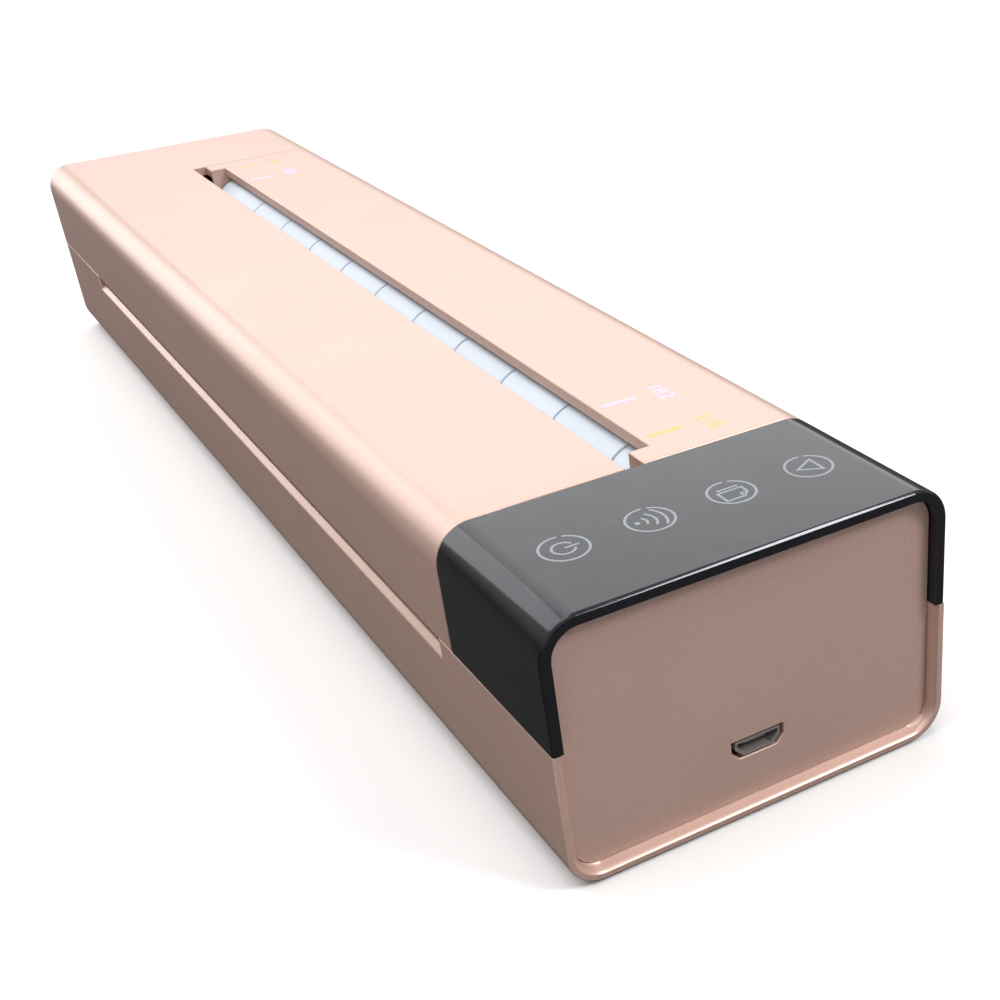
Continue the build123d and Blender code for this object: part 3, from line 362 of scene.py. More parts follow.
def node_tree(name, **sizes):
    """Empty geometry tree with named inputs."""
    tree = bpy.data.node_groups.new(name, "GeometryNodeTree")
    tree.interface.new_socket(name="Geometry", in_out="INPUT", socket_type="NodeSocketGeometry")
    for key, value in sizes.items():
        socket = tree.interface.new_socket(name=titled(key), in_out="INPUT", socket_type=SOCKETS[type(value)])
        socket.default_value = value
    tree.interface.new_socket(name="Material", in_out="INPUT", socket_type="NodeSocketMaterial")
    tree.interface.new_socket(name="Geometry", in_out="OUTPUT", socket_type="NodeSocketGeometry")
    return tree, tree.nodes.new("NodeGroupInput").outputs


def close_tree(tree, given, points, shape):
    """Ends a tree in a shape on each point, as real geometry with its material."""
    spread = put(tree, "GeometryNodeInstanceOnPoints", {"Points": points, "Instance": shape})
    real = put(tree, "GeometryNodeRealizeInstances", {"Geometry": spread})
    painted = put(tree, "GeometryNodeSetMaterial", {"Geometry": real, "Material": given["Material"]})
    put(tree, "NodeGroupOutput", {0: painted})
    return tree


def row_tree():
    """Repeats a shape in a straight row."""
    tree, given = node_tree("row_along_printer", count=5, start=(0.0, 0.0, 0.0), step=(0.0, 0.0, 0.0))
    line = put(tree, "GeometryNodeMeshLine", {
        "Count": given["Count"], "Start Location": given["Start"], "Offset": given["Step"]}, mode="OFFSET")
    return close_tree(tree, given, line, given["Geometry"])


def screw_tree():
    """Pan-head screws with a cross recess, one on each point, heads up unless flipped."""
    tree, given = node_tree(
        "cross_screws", head_radius=SCREW_HEAD, head_height=SCREW_HEAD_HEIGHT, shank_radius=SCREW_SHANK,
        shank_length=6.0 * MM, recess_width=0.55 * MM, flip=0.0)
    tall, narrow = given["Head Height"], given["Recess Width"]
    wide = maths(tree, given["Head Radius"], 1.25)
    head = put(tree, "GeometryNodeMeshCylinder", {
        "Vertices": 40, "Radius": given["Head Radius"], "Depth": tall})
    shank = put(tree, "GeometryNodeMeshCylinder", {
        "Vertices": 24, "Radius": given["Shank Radius"], "Depth": given["Shank Length"]})
    drop = put(tree, "ShaderNodeCombineXYZ", {"Z": maths(tree, given["Shank Length"], -0.5)})
    lowered = put(tree, "GeometryNodeTransform", {"Geometry": shank, "Translation": drop})
    rise = put(tree, "ShaderNodeCombineXYZ", {"Z": maths(tree, tall, 0.45)})
    cut = put(tree, "GeometryNodeMeshBoolean", {"Mesh 1": head}, operation="DIFFERENCE")
    for x, y in ((wide, narrow), (narrow, wide)):
        size = put(tree, "ShaderNodeCombineXYZ", {"X": x, "Y": y, "Z": tall})
        bar = put(tree, "GeometryNodeMeshCube", {"Size": size})
        raised = put(tree, "GeometryNodeTransform", {"Geometry": bar, "Translation": rise})
        tree.links.new(raised.outputs[0], cut.inputs["Mesh 2"])
    both = put(tree, "GeometryNodeJoinGeometry")
    for solid in (cut, lowered):
        tree.links.new(solid.outputs[0], both.inputs[0])
    turn = put(tree, "ShaderNodeCombineXYZ", {"X": given["Flip"]})
    turned = put(tree, "GeometryNodeTransform", {"Geometry": both, "Rotation": turn})
    return close_tree(tree, given, given["Geometry"], turned)


def coil_tree():
    """Coil springs, one on each point, along the Y axis."""
    tree, given = node_tree("coil_springs", radius=SPRING_RADIUS, wire=SPRING_WIRE, height=7.0 * MM, turns=4.0)
    spiral = put(tree, "GeometryNodeCurveSpiral", {
        "Resolution": 36, "Rotations": given["Turns"], "Start Radius": given["Radius"],
        "End Radius": given["Radius"], "Height": given["Height"]})
    circle = put(tree, "GeometryNodeCurvePrimitiveCircle", {"Resolution": 12, "Radius": given["Wire"]})
    wire = put(tree, "GeometryNodeCurveToMesh", {"Curve": spiral, "Profile Curve": circle, "Fill Caps": True})
    laid = put(tree, "GeometryNodeTransform", {"Geometry": wire, "Rotation": (radians(-90), 0, 0)})
    return close_tree(tree, given, given["Geometry"], laid)


def grown(piece, tree, **values):
    """Runs a geometry tree on a piece and keeps the result as a plain mesh."""
    modifier = piece.modifiers.new("Nodes", "NODES")
    modifier.node_group = tree
    wanted = {titled(key): value for key, value in values.items()}
    for socket in tree.interface.items_tree:
        if socket.in_out == "INPUT" and socket.name in wanted:
            modifier[socket.identifier] = wanted[socket.name]
    return baked(piece)


def points_object(name, places):
    """Loose points that a tree puts its shapes on."""
    mesh = bpy.data.meshes.new(name)
    mesh.from_pydata([tuple(place) for place in places], [], [])
    return new_object(name, mesh)


# Shader groups

def shader_group(name, **sizes):
    """Empty shader group, its named inputs and the piece's own coordinates."""
    group = bpy.data.node_groups.new(name, "ShaderNodeTree")
    for key, value in sizes.items():
        socket = group.interface.new_socket(name=titled(key), in_out="INPUT", socket_type="NodeSocketFloat")
        socket.default_value = value
    place = put(group, "ShaderNodeTexCoord").outputs["Object"]
    return group, group.nodes.new("NodeGroupInput").outputs, place


def close_group(group, **results):
    """Gives a shader group its outputs."""
    for label in results:
        group.interface.new_socket(name=label, in_out="OUTPUT", socket_type="NodeSocketFloat")
    put(group, "NodeGroupOutput", results)
    return group


def noise(tree, place, scale, detail, roughness=0.5):
    """Adds a noise texture."""
    return put(tree, "ShaderNodeTexNoise", {
        "Vector": place, "Scale": scale, "Detail": detail, "Roughness": roughness})


def grain_group():
    """Fine moulded grain with a slow change of tone."""
    group, given, place = shader_group("moulded_grain", scale=2600.0, tone_scale=45.0)
    return close_group(group, Height=noise(group, place, given["Scale"], 3.0, 0.6),
                       Tone=noise(group, place, given["Tone Scale"], 2.0))


def speckle_group():
    """Tiny bright and dark flecks."""
    group, given, place = shader_group("fine_flecks", scale=2200.0, share=0.3)
    cells = put(group, "ShaderNodeTexVoronoi", {"Vector": place, "Scale": given["Scale"]})
    split = put(group, "ShaderNodeSeparateColor", {"Color": cells.outputs["Color"]})
    limit = maths(group, 1.0, given["Share"], "SUBTRACT")
    return close_group(group, Light=maths(group, split.outputs[0], limit, "GREATER_THAN"),
                       Dark=maths(group, split.outputs[1], limit, "GREATER_THAN"))


def edge_highlight_group():
    """Mask of the edges that are made paler: a painted edge highlight, with slight wear."""
    group, given, place = shader_group("edge_highlight_and_wear", radius=0.4 * MM, breakup=700.0)
    bevel = put(group, "ShaderNodeBevel", {"Radius": given["Radius"]}, samples=4)
    normal = put(group, "ShaderNodeNewGeometry").outputs["Normal"]
    agree = put(group, "ShaderNodeVectorMath", {0: bevel, 1: normal}, operation="DOT_PRODUCT")
    edge = put(group, "ShaderNodeMapRange", {
        "Value": agree.outputs["Value"], "From Min": 0.995, "From Max": 0.9, "To Min": 0.0, "To Max": 1.0})
    return close_group(group, Mask=maths(group, edge, noise(group, place, given["Breakup"], 3.0)))


def dust_group():
    """Thin dust on faces that look upwards."""
    group, given, place = shader_group("settled_dust", scale=220.0, amount=0.1)
    normal = put(group, "ShaderNodeNewGeometry").outputs["Normal"]
    split = put(group, "ShaderNodeSeparateXYZ", {"Vector": normal})
    patch = put(group, "ShaderNodeMapRange", {
        "Value": noise(group, place, given["Scale"], 5.0, 0.7), "From Min": 0.45, "From Max": 0.75})
    up = maths(group, split.outputs["Z"], patch, use_clamp=True)
    return close_group(group, Mask=maths(group, up, given["Amount"]))


def brushed_group():
    """Fine lines drawn along the printer, for rolled sheet and turned bars."""
    group, given, place = shader_group("drawn_lines", scale=3000.0, stretch=0.02)
    scale = put(group, "ShaderNodeCombineXYZ", {"X": given["Stretch"], "Y": 1.0, "Z": 1.0})
    long_way = put(group, "ShaderNodeVectorMath", {0: place, 1: scale}, operation="MULTIPLY")
    return close_group(group, Height=noise(group, long_way, given["Scale"], 4.0),
                       Tone=noise(group, place, 160.0, 2.0))


GROUPS = {}


def effect(tree, name, **values):
    """Places a shared effect in a material with its own values."""
    made = tree.nodes.new("ShaderNodeGroup")
    made.node_tree = GROUPS[name]
    for key, value in values.items():
        made.inputs[titled(key)].default_value = value
    return made


def base_material(name, roughness, metallic=0.0, specular=0.5, coat=0.0, coat_rough=0.05):
    """Material with a shader whose plain values are set."""
    made = bpy.data.materials.new(name)
    made.use_nodes = True
    shader = made.node_tree.nodes["Principled BSDF"]
    values = {"Roughness": roughness, "Metallic": metallic, "Specular IOR Level": specular,
              "Coat Weight": coat, "Coat Roughness": coat_rough, "IOR": 1.5}
    for key, value in values.items():
        shader.inputs[key].default_value = value
    return made, made.node_tree, shader


def blended(tree, factor, first, second, blend_type="MIX"):
    """Mixes two colours by a factor; each may be a node, a socket or plain numbers."""
    mix = put(tree, "ShaderNodeMix", {"Factor": factor}, data_type="RGBA", blend_type=blend_type)
    sockets = [socket for socket in mix.inputs if socket.type == "RGBA"]
    for socket, value in zip(sockets, (first_output(first), first_output(second))):
        if isinstance(value, bpy.types.NodeSocket):
            tree.links.new(value, socket)
        else:
            socket.default_value = (*value, 1.0)
    return next(socket for socket in mix.outputs if socket.type == "RGBA")


def toned(tree, colour, factor, low=0.94, high=1.06):
    """Colour that drifts slightly with a mask."""
    drift = put(tree, "ShaderNodeMapRange", {"Value": factor, "To Min": low, "To Max": high})
    grey = put(tree, "ShaderNodeCombineColor", {0: drift, 1: drift, 2: drift})
    return blended(tree, 1.0, colour, grey, "MULTIPLY")


def bumped(tree, shader, height, strength, distance):
    """Fine relief on the shader's normal."""
    bump = put(tree, "ShaderNodeBump", {"Height": height, "Strength": strength, "Distance": distance})
    tree.links.new(bump.outputs[0], shader.inputs["Normal"])


def moulded(name, colour, roughness, flecks=0.0, edge_highlight=0.12, grain=2600.0, relief=0.12, dust=0.05,
            **shader_values):
    """Moulded or painted finish with grain, flecks and a little dust; its paler edges are a painted edge
    highlight with slight wear.
    """
    made, tree, shader = base_material(name, roughness, **shader_values)
    fine = effect(tree, "moulded_grain", scale=grain)
    now = toned(tree, colour, fine.outputs["Tone"])
    if flecks:
        spots = effect(tree, "fine_flecks", scale=grain * 1.1)
        lighter = tuple(min(1.0, channel * 1.5 + 0.08) for channel in colour)
        darker = tuple(channel * 0.55 for channel in colour)
        now = blended(tree, maths(tree, spots.outputs["Light"], flecks), now, lighter)
        now = blended(tree, maths(tree, spots.outputs["Dark"], flecks), now, darker)
    # Paler edges: painted edge highlight, with slight wear.
    if edge_highlight:
        lit_edges = effect(tree, "edge_highlight_and_wear")
        highlight_colour = tuple(min(1.0, channel * 1.3 + 0.05) for channel in colour)
        now = blended(tree, maths(tree, lit_edges, edge_highlight), now, highlight_colour)
    if dust:
        settled = effect(tree, "settled_dust", amount=dust)
        now = blended(tree, settled, now, (0.62, 0.60, 0.57))
    tree.links.new(now, shader.inputs["Base Color"])
    rough = put(tree, "ShaderNodeMapRange", {
        "Value": fine.outputs["Height"], "To Min": roughness - 0.04, "To Max": roughness + 0.05})
    tree.links.new(rough.outputs[0], shader.inputs["Roughness"])
    bumped(tree, shader, fine.outputs["Height"], relief, 0.02 * MM)
    return made


def drawn(name, colour, roughness, stretch=0.02, scale=3000.0, relief=0.2):
    """Metal with fine lines; its brighter edges are a painted edge highlight with slight wear."""
    made, tree, shader = base_material(name, roughness, metallic=1.0)
    lines = effect(tree, "drawn_lines", scale=scale, stretch=stretch)
    now = toned(tree, colour, lines.outputs["Tone"], 0.88, 1.08)
    # Brighter edges on the metal: painted edge highlight, with slight wear.
    lit_edges = effect(tree, "edge_highlight_and_wear", radius=0.0002)
    now = blended(tree, maths(tree, lit_edges, 0.5), now, tuple(min(1.0, c * 1.3) for c in colour))
    tree.links.new(now, shader.inputs["Base Color"])
    rough = put(tree, "ShaderNodeMapRange", {
        "Value": lines.outputs["Height"], "To Min": roughness - 0.07, "To Max": roughness + 0.1})
    tree.links.new(rough.outputs[0], shader.inputs["Roughness"])
    bumped(tree, shader, lines.outputs["Height"], relief, 0.01 * MM)
    return made


def board_finish():
    """Green solder mask with copper tracks below it."""
    made, tree, shader = base_material("green_board", 0.35, coat=0.3)
    place = put(tree, "ShaderNodeTexCoord")
    tracks = put(tree, "ShaderNodeTexBrick", {
        "Vector": place.outputs["Object"], "Scale": 420.0, "Mortar Size": 0.06,
        "Color1": (0.012, 0.075, 0.036, 1), "Color2": (0.016, 0.095, 0.046, 1),
        "Mortar": (0.03, 0.16, 0.07, 1)})
    fine = effect(tree, "moulded_grain", scale=1800.0)
    holes = put(tree, "ShaderNodeTexVoronoi", {"Vector": place.outputs["Object"], "Scale": 360.0})
    pads = maths(tree, holes.outputs["Distance"], 0.13, "LESS_THAN")
    now = blended(tree, pads, tracks.outputs["Color"], (0.62, 0.52, 0.32))
    tree.links.new(now, shader.inputs["Base Color"])
    bumped(tree, shader, fine.outputs["Height"], 0.15, 0.03 * MM)
    return made


FINISHES = {}


def make_finishes():
    """Builds every shared effect and every finish."""
    scene = bpy.context.scene
    for maker in (grain_group, speckle_group, edge_highlight_group, dust_group, brushed_group):
        group = maker()
        GROUPS[group.name] = group
    case = scene.printer_case
    panel = scene.printer_panel
    roller = scene.printer_roller
    marks = scene.printer_marks
    FINISHES.update({
        "shell": moulded("rose_brown_shell", case.colour, 0.36, flecks=case.speckle, edge_highlight=0.25, grain=4200.0,
                         relief=0.06, metallic=0.3, coat=0.3, coat_rough=0.3),
        "end_plate": moulded("speckled_end_plate", case.plate_colour, 0.45, flecks=0.12, edge_highlight=0.1,
                             grain=6500.0, relief=0.06, metallic=0.3),
        "panel": moulded("gloss_black_panel", panel.colour, 0.09, edge_highlight=0.05, grain=900.0, relief=0.01,
                         dust=0.02),
        "icon": moulded("pale_key_print", panel.icon_colour, 0.45, edge_highlight=0.0, grain=5200.0, relief=0.05,
                        dust=0.0),
        "wide_mark": moulded("amber_mark_print", marks.wide_colour, 0.5, edge_highlight=0.0, grain=5200.0, dust=0.0),
        "narrow_mark": moulded("lilac_mark_print", marks.narrow_colour, 0.5, edge_highlight=0.0, grain=5200.0, dust=0.0),
        "roller": moulded("pale_roller_rubber", roller.colour, 0.42, edge_highlight=0.0, grain=1500.0, relief=0.2,
                          dust=0.0),
        "acetal": moulded("natural_acetal", (0.76, 0.75, 0.71), 0.38, edge_highlight=0.1, grain=1800.0, dust=0.0),
        "black_plastic": moulded("black_moulded_plastic", (0.022, 0.022, 0.024), 0.5, edge_highlight=0.25, grain=1900.0,
                                 relief=0.4),
        "ceramic": moulded("glazed_ceramic_head", (0.80, 0.77, 0.70), 0.2, edge_highlight=0.0, grain=1500.0, relief=0.05,
                           dust=0.0, coat=0.6),
        "heat_line": moulded("dark_heat_line", (0.05, 0.035, 0.03), 0.25, edge_highlight=0.0, grain=4000.0, dust=0.0),
        # The paper guides' pale bluish colour is a painted reflection of the bluish light seen in the side
        # slot.
        "guide": moulded("pale_guide_painted_reflection", (0.50, 0.54, 0.60), 0.35, edge_highlight=0.1, grain=1800.0, relief=0.1),
        "nickel": moulded("satin_nickel", (0.30, 0.28, 0.26), 0.35, edge_highlight=0.3, grain=2200.0, relief=0.05,
                          dust=0.0, metallic=0.35),
        "rubber": moulded("grey_black_rubber", (0.03, 0.03, 0.032), 0.75, edge_highlight=0.2, grain=1200.0, relief=0.5),
        "wrap": moulded("blue_battery_wrap", (0.09, 0.14, 0.24), 0.32, edge_highlight=0.15, grain=500.0, relief=0.3),
        "steel": drawn("bright_drawn_steel", (0.62, 0.63, 0.65), 0.25),
        "sheet": drawn("zinc_plated_sheet", (0.52, 0.54, 0.56), 0.38, stretch=0.3, scale=900.0),
        "can": drawn("satin_motor_can", (0.42, 0.43, 0.45), 0.35, stretch=0.05),
        "aluminium": drawn("extruded_aluminium", (0.60, 0.61, 0.63), 0.33, stretch=0.01),
        "brass": drawn("turned_brass", (0.60, 0.42, 0.16), 0.3, stretch=1.0),
        "gold": drawn("gold_contacts", (0.80, 0.58, 0.22), 0.25, stretch=1.0),
        "board": board_finish(),
    })
    tint = FINISHES["panel"].node_tree.nodes["Principled BSDF"].inputs["Specular Tint"]
    tint.default_value = (0.90, 0.94, 1.0, 1.0)


# Operators, one for each piece or group of like pieces

class PRINTER_OT_stage(bpy.types.Operator):
    """Set up the camera, the lamps, the world and the floor"""
    bl_idname = "printer.stage"
    bl_label = "Stage"

    def execute(self, context):
        """Builds the stage."""
        scene = context.scene
        stage = scene.printer_stage
        scene.view_settings.view_transform = "Standard"
        camera_data = bpy.data.cameras.new("photo_camera")
        camera_data.sensor_width = 36.0
        camera_data.lens = stage.lens
        camera_data.shift_x, camera_data.shift_y = CAMERA_SHIFT
        camera_data.clip_start = 0.005
        camera = new_object("photo_camera", camera_data)
        camera.matrix_world = Matrix.Translation(CAMERA_PLACE) @ Matrix(CAMERA_TURN).to_4x4()
        scene.camera = camera
        self.lamp("key_lamp", (-0.05, -0.3, 1.02), (0, 0, 0), 1.3, 1.0, stage.key_power)
        self.lamp("fill_lamp", (0.95, -0.05, 0.5), (0, 0, 0.02), 0.9, 0.7, stage.fill_power)
        self.lamp("rim_lamp", (0.62, 0.42, 0.67), (0.14, 0, 0), 0.3, 0.25, stage.rim_power)
        self.lamp("edge_lamp", (-0.92, -0.34, 0.42), (0, 0, 0.03), 0.5, 0.85, stage.edge_power)
        self.lamp("back_lamp", (-0.85, 0.55, 0.62), (0, 0, 0.03), 1.3, 0.7, stage.back_power)
        self.world(scene)
        self.floor(stage)
        return {"FINISHED"}

    def lamp(self, name, place, aim, wide, high, power):
        """Adds a soft rectangular lamp."""
        data = bpy.data.lights.new(name, "AREA")
        data.shape = "RECTANGLE"
        data.size = wide
        data.size_y = high
        data.energy = power
        lamp = new_object(name, data)
        lamp.location = place
        lamp.rotation_euler = (Vector(aim) - Vector(place)).to_track_quat("-Z", "Y").to_euler()
        lamp.visible_camera = False

    def world(self, scene):
        """White backdrop for the camera, soft dim light for everything else."""
        world = bpy.data.worlds.new("studio_world")
        scene.world = world
        world.use_nodes = True
        tree = world.node_tree
        background = tree.nodes["Background"]
        background.inputs["Color"].default_value = (1.0, 1.0, 1.0, 1.0)
        path = put(tree, "ShaderNodeLightPath")
        place = put(tree, "ShaderNodeTexCoord")
        split = put(tree, "ShaderNodeSeparateXYZ", {"Vector": place.outputs["Generated"]})
        bright = put(tree, "ShaderNodeMapRange", {
            "Value": split.outputs["Z"], "From Min": 0.0, "From Max": 0.3, "To Min": 0.1, "To Max": 0.55})
        mirrored = maths(tree, path.outputs["Is Glossy Ray"], bright)
        seen = maths(tree, path.outputs["Is Camera Ray"], mirrored, "MAXIMUM")
        ambient = maths(tree, path.outputs["Is Diffuse Ray"], 0.29)
        strength = maths(tree, seen, ambient, "MAXIMUM")
        tree.links.new(strength.outputs[0], background.inputs["Strength"])

    def floor(self, stage):
        """Plain pale floor that throws little light back at the sides."""
        work = bmesh.new()
        bmesh.ops.create_grid(work, x_segments=1, y_segments=1, size=0.75)
        floor = from_bmesh("floor", work)
        made, tree, shader = base_material("pale_floor", 0.9, specular=0.0)
        path = put(tree, "ShaderNodeLightPath")
        mirrored = blended(tree, path.outputs["Is Glossy Ray"], (0.32, 0.32, 0.32), (0.08, 0.08, 0.08))
        seen = blended(tree, path.outputs["Is Camera Ray"], mirrored, tuple(stage.floor_tone))
        tree.links.new(seen, shader.inputs["Base Color"])
        floor.data.materials.append(made)


class PRINTER_OT_shells(bpy.types.Operator):
    """Finish the lower case, the upper shell and the hinged cover"""
    bl_idname = "printer.shells"
    bl_label = "Shells"

    def execute(self, context):
        """Rounds the visible edges of the three mouldings."""
        width = context.scene.printer_case.edge_round
        for node, body in (("lower_case", "base"), ("upper_shell", "base"), ("top_cover", "cover")):
            work = merged(node)
            soften(work, on_skin, width)
            sink_top(work)
            piece = from_bmesh(node + "_moulding", work)
            dress(shaded(piece), body, "case", FINISHES["shell"], node)
        return {"FINISHED"}


class PRINTER_OT_end_plates(bpy.types.Operator):
    """Finish the end plates and set the contacts in the socket"""
    bl_idname = "printer.end_plates"
    bl_label = "End plates and socket"

    def execute(self, context):
        """Rounds the plates' outer edges and adds a row of contacts."""
        for node, side in (("near_end_plate", 1), ("far_end_plate", -1)):
            low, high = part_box(node)
            face = high.x if side > 0 else low.x
            work = merged(node)
            soften(work, lambda edge: all(abs(v.co.x - face) < 0.01 * MM for v in edge.verts), 0.15 * MM)
            piece = from_bmesh(node + "_panel", work)
            dress(shaded(piece), "base", "end_plate", FINISHES["end_plate"], node)
        low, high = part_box("usb_socket")
        work = bmesh.new()
        bmesh.ops.create_cube(work, size=1.0, matrix=Matrix.Diagonal((2.6 * MM, 0.4 * MM, 0.08 * MM, 1.0)))
        contact = from_bmesh("socket_contacts", work)
        middle = (low.z + high.z) / 2
        grown(contact, row_tree(), count=5, start=(high.x - 2.4 * MM, -1.3 * MM, middle - 0.03 * MM),
              step=(0.0, 0.65 * MM, 0.0), material=FINISHES["gold"])
        dress(contact, "base", "bright_steel", None)
        return {"FINISHED"}


class PRINTER_OT_key_panel(bpy.types.Operator):
    """Finish the gloss panel and print the four key signs on it"""
    bl_idname = "printer.key_panel"
    bl_label = "Key panel"

    def execute(self, context):
        """Rounds the panel and prints its signs."""
        panel = context.scene.printer_panel
        work = merged("control_panel")
        soften(work, on_skin, panel.edge_round)
        sink_top(work)
        piece = from_bmesh("gloss_panel", work)
        dress(shaded(piece), "base", "panel", FINISHES["panel"], "control_panel")
        signs = bmesh.new()
        low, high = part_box("touch_board")
        key_x = (low.x + high.x) / 2
        line = panel.line
        for step, sign in zip((-1.5, -0.5, 0.5, 1.5), (self.power, self.waves, self.page, self.feed)):
            place = (key_x, step * panel.key_pitch)
            radius = panel.ring_radius - line / 2
            add_stroke(signs, stroke(arc((0, 0), radius, 171, 519, 96), line), place)
            sign(signs, place, line)
        printed = from_bmesh("key_signs", signs)
        dress(printed, "base", "panel", FINISHES["icon"])
        return {"FINISHED"}

    def power(self, signs, place, line):
        """Power sign."""
        add_stroke(signs, stroke(arc((0, -0.1 * MM), 1.62 * MM, 115, 425), line), place)
        add_stroke(signs, stroke([(0, 0.1 * MM), (0, 2.2 * MM)], line), place)

    def waves(self, signs, place, line):
        """Three waves over a dot."""
        foot = (0, -2.0 * MM)
        add_dot(signs, foot, 0.42 * MM, place)
        for radius in (1.45, 2.75, 4.15):
            half = 42 if radius < 4 else 38
            add_stroke(signs, stroke(arc(foot, radius * MM, 90 - half, 90 + half, 24), line), place)

    def page(self, signs, place, line):
        """Sheet with a folded corner, and a bar beside it."""
        sheet = [(-0.6, -1.95), (2.1, -1.95), (2.1, 0.9), (1.05, 1.95), (-0.6, 1.95)]
        add_stroke(signs, stroke([(x * MM, y * MM) for x, y in sheet], line, True), place)
        fold = [(1.05, 1.75), (1.05, 0.85), (1.95, 0.85)]
        add_stroke(signs, stroke([(x * MM, y * MM) for x, y in fold], line * 0.8), place)
        add_stroke(signs, stroke([(-1.35 * MM, -1.7 * MM), (-1.35 * MM, 1.8 * MM)], line), place)

    def feed(self, signs, place, line):
        """Feed sign: a triangle."""
        corners = [(-1.8, 1.3), (1.9, 1.3), (0.1, -2.0)]
        add_stroke(signs, stroke([(x * MM, y * MM) for x, y in corners], line, True), place)


class PRINTER_OT_width_marks(bpy.types.Operator):
    """Print the paper width marks on the cover"""
    bl_idname = "printer.width_marks"
    bl_label = "Width marks"

    def execute(self, context):
        """Prints a dash and the paper width in millimetres beside each end of the slot."""
        marks = context.scene.printer_marks
        for half, number, finish, wide in WIDTH_MARKS:
            work = bmesh.new()
            for side in (-1, 1):
                dash = [(0, 0), (0, marks.dash_length)]
                add_stroke(work, stroke(dash, marks.dash_width), (side * half, DASH_START))
                self.digits(work, number, (side * (half + DIGITS_SHIFT), DIGITS_START), wide)
            printed = from_bmesh("width_mark_" + number, work)
            dress(printed, "cover", "case", FINISHES[finish])
        return {"FINISHED"}

    def digits(self, work, words, place, wide):
        """Adds upright digits, centred on a place."""
        curve = bpy.data.curves.new("digits", "FONT")
        curve.body = words
        curve.align_x = "CENTER"
        curve.size = 4.0 * MM
        curve.resolution_u = 6
        curve.extrude = PRINT_DEPTH
        curve.offset = 0.07 * MM
        text = new_object("digits", curve)
        mesh = evaluated_mesh(text)
        bpy.data.objects.remove(text)
        xs = [v.co.x for v in mesh.vertices]
        ys = [v.co.y for v in mesh.vertices]
        across = wide / (max(xs) - min(xs))
        along = DIGITS_HEIGHT / (max(ys) - min(ys))
        start = (place[0] - across * (min(xs) + max(xs)) / 2, place[1] - along * min(ys), TOP - PRINT_DEPTH)
        mesh.transform(Matrix.Translation(start) @ Matrix.Diagonal((across, along, 1.0, 1.0)))
        work.from_mesh(mesh)
        bpy.data.meshes.remove(mesh)


class PRINTER_OT_roller(bpy.types.Operator):
    """Build the ringed sleeve of the platen roller"""
    bl_idname = "printer.roller"
    bl_label = "Platen roller"

    def execute(self, context):
        """Repeats a sleeve between the rings and adds the two end sleeves and the core."""
        roller = context.scene.printer_roller
        low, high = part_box("platen_roller")
        radius = (high.z - low.z) / 2
        axis = Vector((0, (low.y + high.y) / 2, (low.z + high.z) / 2))
        count = int(high.x / roller.pitch)
        gap = roller.ring_width / 2
        rim = 0.12 * MM
        core = radius - roller.ring_depth
        step = rim * 0.3
        end = roller.pitch - gap
        sleeve = lathe([(gap, 0), (gap, radius - rim), (gap + step, radius - step), (gap + rim, radius),
                        (end - rim, radius), (end - step, radius - step), (end, radius - rim), (end, 0)])
        bmesh.ops.translate(sleeve, verts=sleeve.verts, vec=axis)
        piece = from_bmesh("platen_sleeves", sleeve)
        reach = count * roller.pitch
        grown(piece, row_tree(), count=2 * count, start=(-reach, 0, 0), step=(roller.pitch, 0, 0),
              material=FINISHES["roller"])
        shaft_low, shaft_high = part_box("platen_shaft")
        shaft_radius = (shaft_high.y - shaft_low.y) / 2
        end_radius = radius - 0.3 * MM
        ends = lathe([(low.x, shaft_radius), (low.x, end_radius - rim), (low.x + rim, end_radius),
                      (-reach - gap, end_radius), (-reach - gap, core),
                      (reach + gap, core), (reach + gap, end_radius),
                      (high.x - rim, end_radius), (high.x, end_radius - rim), (high.x, shaft_radius)])
        self.close_bore(ends, low.x, high.x, shaft_radius)
        bmesh.ops.translate(ends, verts=ends.verts, vec=axis)
        whole = gathered("platen_sleeve", piece, from_bmesh("platen_ends", ends))
        dress(shaded(whole, 50), "platen", "roller", FINISHES["roller"], "platen_roller")
        return {"FINISHED"}

    def close_bore(self, work, start, end, radius):
        """Joins the two ends of an open turned shape by its bore."""
        bore = [v for v in work.verts if abs(hypot(v.co.y, v.co.z) - radius) < NEAR]
        rings = []
        for x in (start, end):
            ring = [v for v in bore if abs(v.co.x - x) < NEAR]
            rings.append(sorted(ring, key=lambda v: atan2(v.co.z, v.co.y)))
        first, last = rings
        for k in range(len(first)):
            after = (k + 1) % len(first)
            work.faces.new((first[k], first[after], last[after], last[k]))


class PRINTER_OT_fasteners(bpy.types.Operator):
    """Set the screws under the case and on the side frames"""
    bl_idname = "printer.fasteners"
    bl_label = "Screws"

    def execute(self, context):
        """Puts a cross-recessed screw at every fastener of the frame."""
        tree = screw_tree()
        for node, flip in (("case_screws", pi), ("frame_screws", 0.0)):
            low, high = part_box(node)
            xs = (low.x + SCREW_HEAD, high.x - SCREW_HEAD)
            ys = (low.y + SCREW_HEAD, high.y - SCREW_HEAD)
            z = low.z + SCREW_HEAD_HEIGHT / 2 if flip else high.z - SCREW_HEAD_HEIGHT / 2
            length = high.z - low.z - SCREW_HEAD_HEIGHT
            places = [(x, y, z) for x in xs for y in ys]
            piece = points_object(node + "_set", places)
            grown(piece, tree, head_radius=SCREW_HEAD, head_height=SCREW_HEAD_HEIGHT, shank_radius=SCREW_SHANK,
                  shank_length=length, flip=flip, material=FINISHES["steel"])
            piece.data.shade_smooth()
            piece.data.set_sharp_from_angle(angle=radians(35))
            dress(piece, "base", "bright_steel", None, node)
        return {"FINISHED"}


